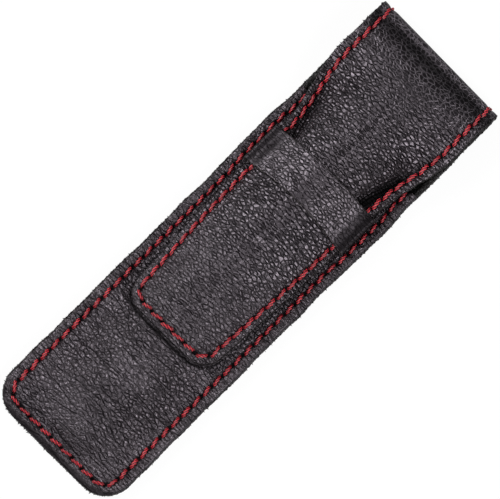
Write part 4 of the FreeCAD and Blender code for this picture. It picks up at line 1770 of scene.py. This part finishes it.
@dataclass
class Flap:
    """The long flap: a tongue over the dome, wings that widen past the strap, and its lining."""

    kit: Kit
    corner: float = 6.5
    tip_half: float = 16.5
    strap_half: float = 18.4
    tongue_bow: float = 0.55
    tip_bow: float = 1.1
    shoulder_start: float = 33.5
    shoulder_end: float = 61.0
    edge_waves: Waves = Waves(0.1, 9.0, 22)
    edge_fade: float = 8.0
    seam_inset: float = 2.35
    strap_seam_inset: float = 1.9
    seam_end: float = 0.2
    stitch: float = 3.4
    edge_radius: float = 0.45
    hole_depth: float = 0.38
    cut_reach: float = 0.12
    place_shares: tuple[float, ...] = (0.0, 0.32, 0.66, 1.0)
    lift_shares: tuple[float, ...] = (0.0, 0.26, 0.8, 1.0)
    angle_shares: tuple[float, ...] = (1.0, 0.89, 0.5, 0.02)
    slack_waves: Waves = Waves(0.1, 18.0, 36)
    slack_reach: float = 10.0
    swell: float = 0.8
    swell_on: Span = (0.2, 2.0)
    swell_off: Span = (16.0, 14.0)
    swell_side: Span = (16.0, 6.0)
    bend_start: float = 66.0
    bend_drop: float = 1.5
    bend_limit: float = 1.2
    bend_calm: float = 0.15
    bend_stretch: float = 0.85
    stretch_on: Span = (-3.0, 8.0)
    bend_shade: float = 0.62
    shade_on: Span = (1.0, 9.0)
    shade_off: Span = (-1.5, 2.2)
    fold_starts: Span = (12.9, 12.4)
    fold_depths: Span = (1.0, 1.25)
    fold_shades: Span = (0.52, 0.75)
    fold_width: float = 1.6
    fold_splay: float = 0.25
    fold_back: float = 1.0
    fold_on: Span = (-3.0, 4.0)
    fold_off: Span = (60.0, 18.0)
    wing_rise: float = 0.7
    wing_on: Span = (0.6, 3.0)
    pinch_shade: float = 0.5
    pinch_limit: float = 0.6
    lee_on: Span = (-0.8, 1.4)
    lee_fade: float = 0.8
    wrinkle_on: Span = (-0.5, 1.0)
    wrinkle_out: float = 0.3
    wrinkle_width: float = 2.4
    calm: float = 0.4
    rough_on: Span = (-2.0, 14.0)
    rough_off: Span = (60.0, 14.0)
    rough_side: Span = (5.0, 6.0)
    fine: float = 0.65
    fine_off: Span = (8.0, 22.0)
    fibre_rise: float = 0.4

    def __post_init__(self) -> None:
        """Work out the outline and the seam."""
        tip, thread = self.kit.layout.tip, self.kit.thread
        self.outline = RoundedEnd(tip, self.corner, self.frayed_side, self.tip_bow)
        seam_side = partial(self.side, self.seam_inset, self.strap_seam_inset, thread.fold_inset)
        seam_line = RoundedEnd(tip + self.seam_inset, self.corner - self.seam_inset, seam_side, self.tip_bow)
        self.seam = Seam(seam_line, self.kit.layout.fold_x - self.seam_end, thread.pitch, self.stitch)

    def side(self, tip: float, strap: float, fold: float, x: Array) -> Array:
        """Give the half width of a line inside the outline.

        Args:
            tip: Distance inside the outline at the tongue's tip.
            strap: The same at the strap.
            fold: The same at the fold.
            x: Along the sleeve.

        Returns:
            The half width.
        """
        start = self.kit.layout.tip + self.corner
        way = np.clip((x - start) / (self.shoulder_start - start), 0.0, 1.0)
        high = self.strap_half - strap
        tongue = between((self.tip_half - tip, high), way) + self.tongue_bow * np.sin(math.pi * way)
        wing = rising(x, self.shoulder_start, self.shoulder_end - self.shoulder_start)
        return tongue + (self.kit.layout.fold_half - fold - high) * wing

    def frayed_side(self, x: Array) -> Array:
        """Give the half width of the cut edge."""
        waves = self.edge_waves.at(x) * rising(x, self.shoulder_start, self.edge_fade)
        return self.side(0.0, 0.0, 0.0, x) + waves

    def skin(self, x: Array, y: Array, height: float) -> Array:
        """Give the level of one of the flap's skins.

        Args:
            x: Along the sleeve.
            y: Across it.
            height: Height above the pocket's inner skin where the flap lies on the dome.

        Returns:
            The level.
        """
        layout, leathers = self.kit.layout, self.kit.leathers
        way = (x - self.shoulder_start) / (layout.fold_x - self.shoulder_start)
        share = ease_through(way, self.place_shares, self.angle_shares)
        rise = layout.fold_top - layout.floor - leathers.flap_high
        lift = rise * ease_through(way, self.place_shares, self.lift_shares)
        level = self.kit.dome.skin(y, height, share, lift)
        past = x - layout.strap_end
        swell = self.swell * rising(past, *self.swell_on) * falling(past, *self.swell_off)
        swell = swell * falling(np.abs(y), *self.swell_side)
        into_bend = (x - self.bend_start) / (layout.fold_x - self.bend_start)
        drop = self.bend_drop * np.clip(into_bend, 0.0, self.bend_limit) ** 2
        slack = self.slack_waves.at(x, y) * falling(x, layout.fold_x, self.slack_reach)
        return level + swell - drop + self.pinch(x, y, self.wing_rise) + slack

    def from_fold(self, x: Array, y: Array) -> Array:
        """Give the distance outwards from the fold beside the strap."""
        start = np.where(y > 0.0, *self.fold_starts)
        return np.abs(y) - start - self.fold_splay * (x - self.kit.layout.strap_end + self.fold_back)

    def fold_reach(self, x: Array) -> Array:
        """Give how strong the folds are along the sleeve, from 0 to 1."""
        return rising(x - self.kit.layout.strap_end, *self.fold_on) * falling(x, *self.fold_off)

    def pinch(self, x: Array, y: Array, wing: float = 0.0) -> Array:
        """Give the folds beside the strap, where the wings come out from under it.

        Args:
            x: Along the sleeve.
            y: Across it.
            wing: How far the wings rise outside the folds.

        Returns:
            The change of level, below 0 in the folds.
        """
        away = self.from_fold(x, y)
        dip = np.where(y > 0.0, *self.fold_depths) * hump(away, self.fold_width)
        return self.fold_reach(x) * (wing * rising(away, *self.wing_on) - dip)

    def stretched(self, x: Array) -> Array:
        """Give how far the skin is stretched over the bend, so that its pebbles part; their darkened middles
        are partly painted shade.
        """
        return self.bend_stretch * rising(x - self.bend_start, *self.stretch_on)

    def shaded(self, x: Array) -> Array:
        """Give the painted shade that darkens and dulls the skin over the bend."""
        dulled = self.bend_shade * rising(x - self.bend_start, *self.shade_on)
        return dulled * falling(x - self.kit.layout.nose_x, *self.shade_off)

    def upper(self, x: Array, y: Array) -> Array:
        """Give the level of the upper skin, drawn down along the seam."""
        return self.skin(x, y, self.kit.leathers.flap_high) - self.seam.groove(x, y, self.kit.thread.draw)

    def under(self, x: Array, y: Array) -> Array:
        """Give the level of the lining's underside, drawn up along the seam."""
        groove = self.seam.groove(x, y, self.kit.thread.lining_draw)
        return self.skin(x, y, self.kit.leathers.flap_lining_low) + groove

    def marks(self, x: Array, y: Array) -> dict[Mark, Array]:
        """Mark the cut edge, the wrinkled folds, the fine tip and the stretched bend, with painted shade in
        and beside the folds, in the needle holes and over the bend.

        Args:
            x: Along the sleeve.
            y: Across it.

        Returns:
            The marks for the finish.
        """
        away, reach = self.from_fold(x, y), self.fold_reach(x)
        # Painted shade outside the folds beside the strap, up to the seam, stronger on the -Y side.
        lee = reach * rising(away, *self.lee_on) * np.where(y > 0.0, *self.fold_shades)
        lee = lee * smooth_step(self.seam.outline.inset(x, y) / self.lee_fade)
        # Painted shade in the folds' hollows.
        folds = np.clip(-self.pinch_shade * self.pinch(x, y), 0.0, self.pinch_limit)
        holes = self.seam.holes(x, y, self.kit.thread.hole_shade)
        # Painted shade: needle holes, the folds and their outer side, and the bend.
        painted_shade = np.maximum.reduce([holes, folds, lee, self.shaded(x)])
        rough = rising(x, *self.rough_on) * falling(x, *self.rough_off)
        rough = rough * rising(np.abs(y), *self.rough_side)
        past_strap = rising(x - self.kit.layout.strap_end, *self.wrinkle_on)
        return {
            Mark.RAW: at_edge(self.outline.inset(x, y), self.cut_reach),
            Mark.DEEP: painted_shade,
            Mark.PRESSED: self.calm * (1.0 - rough),
            Mark.FINE: self.fine * falling(x, *self.fine_off),
            Mark.STRETCH: self.stretched(x),
            Mark.FOLD_DISTANCE: away,
            Mark.FOLD_SHARE: reach * past_strap * hump(away - self.wrinkle_out, self.wrinkle_width),
        }

    def make_leathers(self) -> None:
        """Make the outer leather and its lining."""
        kit, layout, leathers = self.kit, self.kit.layout, self.kit.leathers
        x, y = StripGrid(self.outline, layout.fold_x, kit.fine_step, self.seam_inset).points()
        top = self.upper(x, y) - self.hole_depth * self.seam.holes(x, y)
        top = stack(x, y, top - rounded_drop(self.outline.inset(x, y), self.edge_radius))
        low = stack(x, y, self.skin(x, y, leathers.flap_low))
        shell = Shell("flap_leather", top, low, Rim(seed=45, fray=0.06), self.marks(x, y))
        settle(shell.build(kit.flap, kit.flesh), Slot.OUTER, Body.FLAP, "flap_outer")
        x, y = StripGrid(self.outline, layout.fold_x, kit.coarse_step, self.seam_inset).points()
        holes = self.seam.holes(x, y)
        under = stack(x, y, self.under(x, y) + kit.thread.lining_hole * holes)[FLIPPED]
        over = stack(x, y, self.skin(x, y, leathers.flap_low - leathers.glue))[FLIPPED]
        rim = Rim(rings=1, seed=46, fray=0.05)
        shell = Shell("flap_lining_leather", under, over, rim, {Mark.DEEP: holes[FLIPPED]})
        settle(shell.build(kit.lining, kit.lining), Slot.LINING, Body.FLAP, "flap_lining")

    def sew(self) -> None:
        """Sew the seam on both faces and fray the wings' edges."""
        leathers, thread, fuzz = self.kit.leathers, self.kit.thread, self.kit.fuzz
        row = thread.row("flap_stitches", self.seam, self.upper, seed=53)
        settle(row, Slot.THREAD, Body.FLAP, "flap_seam_thread")
        row = thread.row("flap_lining_stitches", self.seam,
                         lambda x, y: self.under(x, y) + thread.lining_hole, seed=54, below=True)
        settle(row, Slot.THREAD, Body.FLAP, "flap_lining_thread")
        middle = partial(self.skin, height=(leathers.flap_low + leathers.flap_high - self.edge_radius) / 2.0)
        for name, kind, seed in (("flap_edge_fibres", fuzz, 62), ("flap_edge_tufts", fuzz.tufted(), 64)):
            fibres = kind.along(name, self.outline, self.kit.layout.fold_x, middle, self.fibre_rise, seed,
                                self.shoulder_start)
            settle(fibres, Slot.OUTER, Body.FLAP)

    def build(self) -> None:
        """Make the whole flap."""
        self.make_leathers()
        self.sew()


@dataclass
class Fold:
    """The bend that joins back and flap, with its lining and stitches."""

    kit: Kit
    flap: Flap
    reach: float = 2.3
    nose_level: float = 4.3
    nose_back: float = 0.4
    skew: float = 0.025
    rows: int = 30
    columns: int = 96
    blend_reach: float = 1.0
    slope_step: float = 0.4
    draw_share: float = 1.15
    draw_reach: float = 0.9
    cut_reach: float = 0.4
    probe: float = 0.2
    lining_thread_depth: float = 0.1
    stitches_outside: int = 3
    stitches_inside: int = 2
    inside_share: float = 0.75

    def line(self, y: Array, depth: float) -> tuple[Array, Array]:
        """Trace the bend from the flap round to the back.

        Args:
            y: Across the sleeve.
            depth: Depth under the outer skin.

        Returns:
            X and Z of the bend, rows round it and columns across the sleeve.
        """
        layout = self.kit.layout
        edge = np.full(y.shape, layout.fold_x)
        level = self.flap.upper(edge, y)
        slope = (level - self.flap.upper(edge - self.slope_step, y)) / self.slope_step
        share = np.linspace(0.0, 1.0, self.rows // 2 + 1)[:, None]
        nose = layout.nose_x - self.nose_back + self.skew * y
        handles_x = (edge, edge + self.reach, nose, nose)
        handles_z = (level, level + slope * self.reach, self.nose_level + self.reach, self.nose_level)
        weights = ((1 - share) ** 3, 3 * share * (1 - share) ** 2, 3 * share**2 * (1 - share), share**3)
        upper_x, upper_z = (sum(weight * handle for weight, handle in zip(weights, handles))
                            for handles in (handles_x, handles_z))
        turn = np.linspace(0.0, QUARTER_TURN, self.rows // 2 + 1)[1:, None]
        lower_x = layout.fold_x + (nose - layout.fold_x) * np.cos(turn)
        lower_z = np.broadcast_to(self.nose_level * (1.0 - np.sin(turn)), lower_x.shape)
        x, z = np.vstack([upper_x, lower_x]), np.vstack([upper_z, lower_z])
        run_x, run_z = np.gradient(x, axis=0), np.gradient(z, axis=0)
        length = np.hypot(run_x, run_z)
        seam = np.abs(y) - layout.fold_half + self.kit.thread.fold_inset
        drawn = smooth_step(np.linspace(0.0, self.draw_share, len(x))[:, None]) * hump(seam, self.draw_reach)
        depth = depth + self.kit.thread.back_draw * drawn
        return x + depth * run_z / length, z - depth * run_x / length

    def sheet(self, name: str, depths: Span, finishes: tuple[Material, Material], rim: Rim) -> Piece:
        """Make one bent layer.

        Args:
            name: The piece's name.
            depths: Where the layer begins and ends under the outer skin.
            finishes: Its outer and its inner finish.
            rim: Its cut edge.

        Returns:
            The layer.
        """
        half = self.kit.layout.fold_half
        y = np.linspace(-1.0, 1.0, self.columns) * half
        (x, z), (inner_x, inner_z) = (self.line(y, depth) for depth in depths)
        # The bend carries the flap's painted shade and its stretched grain, whose dark middles are partly
        # painted shade.
        marks = {Mark.RAW: at_edge(half - np.abs(y), self.cut_reach), Mark.PRESSED: self.flap.bend_calm,
                 Mark.DEEP: self.flap.shaded(x), Mark.STRETCH: self.flap.stretched(x)}
        return Shell(name, stack(x, y, z), stack(inner_x, y, inner_z), rim, marks).build(*finishes)

    def stitches(self, name: str, depth: float, count: int, inside: bool, seed: int) -> Piece:
        """Lay the stitches that go round the bend on both sides.

        Args:
            name: The piece's name.
            depth: Depth of the thread under the outer skin.
            count: Number of stitches on each side.
            inside: True where the stitches show inside the bend.
            seed: Seed of their small differences.

        Returns:
            The stitches as one plain mesh.
        """
        spots, headings, facings = [], [], []
        for side in Side:
            y = np.array([side.value * (self.kit.layout.fold_half - self.kit.thread.fold_inset)])
            line = np.column_stack([grid[:, 0] for grid in self.line(y, depth)])
            reach = run_lengths(line)
            marks = (np.arange(count) + 0.5) / count * reach[-1]
            here, ahead = (at_lengths(marks + shift, reach, line) for shift in (0.0, self.probe))
            run = unit(ahead - here)
            spots.append(stack(here[:, 0], y[0], here[:, 1]))
            headings.append(stack(run[:, 0], 0.0, run[:, 1]) * side.value)
            out = stack(-run[:, 1], 0.0, run[:, 0])
            facings.append(-out if inside else out)
        length = self.flap.stitch * (self.inside_share if inside else 1.0)
        thread = self.kit.thread.flush()
        return thread.lay(name, np.vstack(spots), np.vstack(headings), np.vstack(facings), length, seed)

    def join(self, piece: Piece, slot: Slot, node: str) -> None:
        """Hide the node that a piece stands for and bake the piece's place into its mesh.

        Args:
            piece: The piece.
            slot: Its material slot; not used.
            node: The node that it stands for.
        """
        layout = self.kit.layout
        flap_end = float(self.flap.upper(np.array([layout.fold_x]), np.zeros(1))[0])
        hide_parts(node)
        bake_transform(piece)
        LOG.info("%s: %d faces between sleeve and flap", piece.name, len(piece.data.polygons))

    def build(self) -> None:
        """Make both layers of the bend and their stitches."""
        kit, leathers = self.kit, self.kit.leathers
        inner = leathers.outer + leathers.glue
        under = inner + leathers.lining
        leather = self.sheet("fold_leather", (0.0, leathers.outer), (kit.outer, kit.flesh), Rim(seed=47))
        self.join(leather, Slot.OUTER, "fold_outer")
        rim = Rim(rings=1, seed=48)
        lining = self.sheet("fold_lining_leather", (inner, under), (kit.lining, kit.lining), rim)
        self.join(lining, Slot.LINING, "fold_lining")
        row = self.stitches("fold_stitches", kit.thread.back_depth, self.stitches_outside,
                            inside=False, seed=55)
        self.join(row, Slot.THREAD, "fold_seam_thread")
        row = self.stitches("fold_lining_stitches", under - self.lining_thread_depth, self.stitches_inside,
                            inside=True, seed=56)
        self.join(row, Slot.THREAD, "fold_lining_thread")


@dataclass
class KeeperStrap:
    """The strap over the flap, its ends turned down into slits in the front."""

    kit: Kit
    side_gap: float = 0.35
    bend: float = 1.0
    least_bend: float = 0.15
    leg_end: float = 0.3
    bow: float = 0.45
    bow_half: float = 14.0
    bow_limit: float = 18.5
    edge_radius: float = 0.5
    cut_reach: float = 0.35
    waves: Waves = Waves(0.1, 9.0, 37)
    smooth_side: Span = (13.5, 2.5)
    pressed: Span = (0.25, 0.9)
    side_shade: float = 0.44
    side_shade_span: Span = (11.5, 6.0)
    edge_cells: tuple[float, ...] = (0.0, 0.1, 0.28, 0.5, 0.8)
    edge_end: float = 1.25
    rows: int = 23
    columns: int = 74
    bend_columns: int = 7
    leg_columns: int = 8

    def section(self, height: float, drop: float) -> tuple[Array, Array]:
        """Trace one skin of the strap across the sleeve.

        Args:
            height: Height above the pocket's inner skin.
            drop: How far out the leg stands from the inner face of the strap's leg.

        Returns:
            Y and Z along the skin, from end to end.
        """
        dome = self.kit.dome
        leg = dome.half + self.side_gap + drop
        bend = max(self.bend - (self.kit.leathers.strap - drop), self.least_bend)
        top = dome.floor + height
        across = np.linspace(0.0, leg - bend, self.columns)
        turn = np.linspace(0.0, QUARTER_TURN, self.bend_columns)[1:]
        down = np.linspace(top - bend, dome.floor + self.leg_end, self.leg_columns)[1:]
        y = np.concatenate([across, leg - bend + bend * np.sin(turn), np.full(len(down), leg)])
        z = np.concatenate([dome.skin(across, height, 1.0), top - bend + bend * np.cos(turn), down])
        return np.concatenate([-y[:0:-1], y]), np.concatenate([z[:0:-1], z])

    def build(self) -> None:
        """Make the strap."""
        kit, layout, leathers = self.kit, self.kit.layout, self.kit.leathers
        width, edge = layout.strap_width, np.array(self.edge_cells)
        outer_y, outer_z = self.section(leathers.strap_high, leathers.strap)
        inner_y, inner_z = self.section(leathers.strap_low, 0.0)
        middle = np.linspace(self.edge_end, width - self.edge_end, self.rows)
        along = np.concatenate([edge, middle, width - edge[::-1]])[:, None]
        inset = np.minimum(along, width - along)
        across = np.minimum(np.abs(outer_y), self.bow_limit) / self.bow_half
        x = layout.strap_start + along + self.bow * (1.0 - along / width) * (1.0 - across**2)
        top = stack(x, outer_y, outer_z + self.waves.at(x, outer_y) - rounded_drop(inset, self.edge_radius))
        smooth = rising(np.abs(outer_y), *self.smooth_side)
        # Painted shade on the strap's -Y end, the side away from the light.
        side_shade = rising(-outer_y, *self.side_shade_span)
        marks = {Mark.RAW: at_edge(inset, self.cut_reach), Mark.PRESSED: between(self.pressed, smooth),
                 Mark.DEEP: self.side_shade * side_shade}
        rim = Rim(seed=49, fray=0.04, bulge=0.06)
        shell = Shell("keeper_strap_leather", top, stack(x, inner_y, inner_z), rim, marks)
        settle(shell.build(kit.strap, kit.flesh), Slot.STRAP, Body.SLEEVE, "keeper_strap")


@dataclass(frozen=True)
class Softbox:
    """A soft light: azimuth from +X towards +Y and slope from straight up in degrees, metres and watts."""

    name: str
    azimuth: float
    slope: float
    reach: float
    size: Span
    power: float

    def hang(self) -> None:
        """Hang the light, facing the sleeve."""
        light = bpy.data.lights.new(self.name, "AREA")
        light.shape = "RECTANGLE"
        light.size, light.size_y = self.size
        light.energy = self.power
        lamp = bpy.data.objects.new(self.name, light)
        turn, lean = math.radians(self.azimuth), math.radians(self.slope)
        way = Vector((math.sin(lean) * math.cos(turn), math.sin(lean) * math.sin(turn), math.cos(lean)))
        turned = way.to_track_quat("Z", "X").to_matrix().to_4x4()
        lamp.matrix_world = Matrix.Translation(way * self.reach) @ turned
        bpy.context.scene.collection.objects.link(lamp)


@dataclass
class Studio:
    """Floor, soft light and the camera at the photograph's angle, in metres."""

    turn: float = math.radians(45.07)
    tilt: float = math.radians(8.0)
    distance: float = 1.5
    frame_width: float = 0.1427
    target: Sizes = (0.00135, -0.0003, 0.006)
    sensor: float = 36.0
    view_end: float = 20.0
    floor_size: float = 6.0
    floor_level: float = -0.0002
    floor_tint: Colour = dye(0.6, 0.6, 0.6)
    floor_glow: float = 0.94
    fill_light: float = 0.08
    seen_rays: tuple[str, ...] = ("Camera", "Glossy", "Transmission")
    lights: tuple[Softbox, ...] = (
        Softbox("light_front", 180.0, 25.0, 1.1, (0.26, 1.8), 3.0),
        Softbox("light_fold", 0.0, 24.0, 1.1, (0.26, 1.8), 5.2),
        Softbox("light_left", 98.0, 54.0, 0.9, (0.45, 0.45), 12.0),
        Softbox("light_right", 262.0, 54.0, 0.9, (0.45, 0.45), 11.0),
    )

    def floor(self) -> None:
        """Lay a pale floor that the camera sees as white, with a soft shadow left on it."""
        half = self.floor_size / 2.0
        corners = [(-half, -half, 0.0), (half, -half, 0.0), (half, half, 0.0), (-half, half, 0.0)]
        mesh = bpy.data.meshes.new("floor")
        mesh.from_pydata(corners, [], [(0, 1, 2, 3)])
        material, graph = new_material("pale_floor")
        paper = graph.node("ShaderNodeBsdfDiffuse", {"Color": self.floor_tint})
        glow = graph.node("ShaderNodeEmission", {"Color": WHITE, "Strength": 1.0})
        share = graph.product(self.seen(graph), self.floor_glow)
        mixed = graph.node("ShaderNodeMixShader", {0: share, 1: paper.outputs[0], 2: glow.outputs[0]})
        graph.node("ShaderNodeOutputMaterial", {"Surface": mixed.outputs[0]})
        mesh.materials.append(material)
        floor = bpy.data.objects.new("floor", mesh)
        floor.location.z = self.floor_level
        bpy.context.scene.collection.objects.link(floor)

    def seen(self, graph: Graph) -> Socket:
        """Give 1 for the rays that show the background itself or mirror it."""
        path = graph.node("ShaderNodeLightPath").outputs
        return reduce(partial(graph.math, "MAXIMUM"), (path[f"Is {kind} Ray"] for kind in self.seen_rays))

    def world(self) -> None:
        """Fill the room with faint even light, white where the camera looks past the floor."""
        world = bpy.data.worlds.new("studio")
        world.use_nodes = True
        graph = Graph(world.node_tree)
        camera = graph.node("ShaderNodeLightPath").outputs["Is Camera Ray"]
        strength = graph.ramp(camera, FULL, (self.fill_light, 1.0))
        sky = graph.node("ShaderNodeBackground", {"Color": WHITE, "Strength": strength})
        graph.node("ShaderNodeOutputWorld", {"Surface": sky.outputs[0]})
        bpy.context.scene.world = world

    def camera(self) -> None:
        """Set the camera above the sleeve, turned and tilted as in the photograph."""
        right = Vector((math.cos(self.turn), -math.sin(self.turn), 0.0))
        ahead = Vector((math.sin(self.turn), math.cos(self.turn), 0.0))
        up = Vector((0.0, 0.0, 1.0))
        back = up * math.cos(self.tilt) - ahead * math.sin(self.tilt)
        top = ahead * math.cos(self.tilt) + up * math.sin(self.tilt)
        data = bpy.data.cameras.new("camera")
        data.sensor_width = self.sensor
        data.lens = self.sensor * self.distance / self.frame_width
        data.clip_end = self.view_end
        camera = bpy.data.objects.new("camera", data)
        turned = Matrix((right, top, back)).transposed().to_4x4()
        camera.matrix_world = Matrix.Translation(Vector(self.target) + back * self.distance) @ turned
        bpy.context.scene.collection.objects.link(camera)
        bpy.context.scene.camera = camera

    def build(self) -> None:
        """Set up floor, world, lights and camera."""
        self.floor()
        self.world()
        for light in self.lights:
            light.hang()
        self.camera()
        bpy.context.scene.view_settings.view_transform = "Standard"


def make_kit(flange: float = 5.15) -> Kit:
    """Read the frame and make the finishes and the shared tools.

    Args:
        flange: Width of the flat flange beside the dome.
    """
    layout = Layout.from_frame()
    leathers = Leathers(outer=layout.back_top, lining=layout.floor - layout.lining_low)
    thread = Thread(ThreadFinish("red_twisted_thread").material(), StitchTree())
    fibre = LiningFinish("edge_fibre", tint=dye(0.02, 0.018, 0.018), shade=dye(0.005, 0.004, 0.004))
    outer = LeatherFinish(
        "pebbled_leather", layers=((1.0, 0.95), (0.5, 0.5)), relief=0.2, facet=0.12, fine_relief=0.7,
        shine=1.15)
    flap = LeatherFinish(
        "flap_leather", layers=((1.0, 0.95), (0.5, 0.35)), wrinkle=0.95, cut_tint=dye(0.022, 0.02, 0.02))
    front = LeatherFinish(
        "creased_leather", pebble=(1.15, 1.6, 1.35), layers=((1.0, 0.97), (0.55, 0.55)), wander=1.0,
        relief=0.2, fine_relief=0.6, line_width=0.26, line_turn=0.45, unrest=0.4, crease_depth=0.95)
    strap = LeatherFinish("pressed_leather", relief=0.14, shine=0.85)
    lining = LiningFinish("lining_leather", relief=0.09, grain_share=1.0, matte=0.7, gloss=0.5, shine=0.4)
    flesh = LiningFinish("flesh_side", tint=dye(0.020, 0.017, 0.016))
    dome = Dome(half=layout.half - flange, floor=layout.floor)
    fuzz = Fuzz(fibre.material(), FibreTree())
    finishes = (finish.material() for finish in (outer, flap, front, strap, lining, flesh))
    return Kit(layout, leathers, dome, thread, fuzz, *finishes)


def main() -> None:
    """Build the sleeve piece by piece, then the studio."""
    logging.basicConfig(level=logging.INFO, format="%(name)s: %(message)s")
    kit = make_kit()
    flap = Flap(kit)
    Pocket(kit, flap.outline).build()
    flap.build()
    Fold(kit, flap).build()
    KeeperStrap(kit).build()
    Studio().build()


if __name__ == "__main__":
    main()
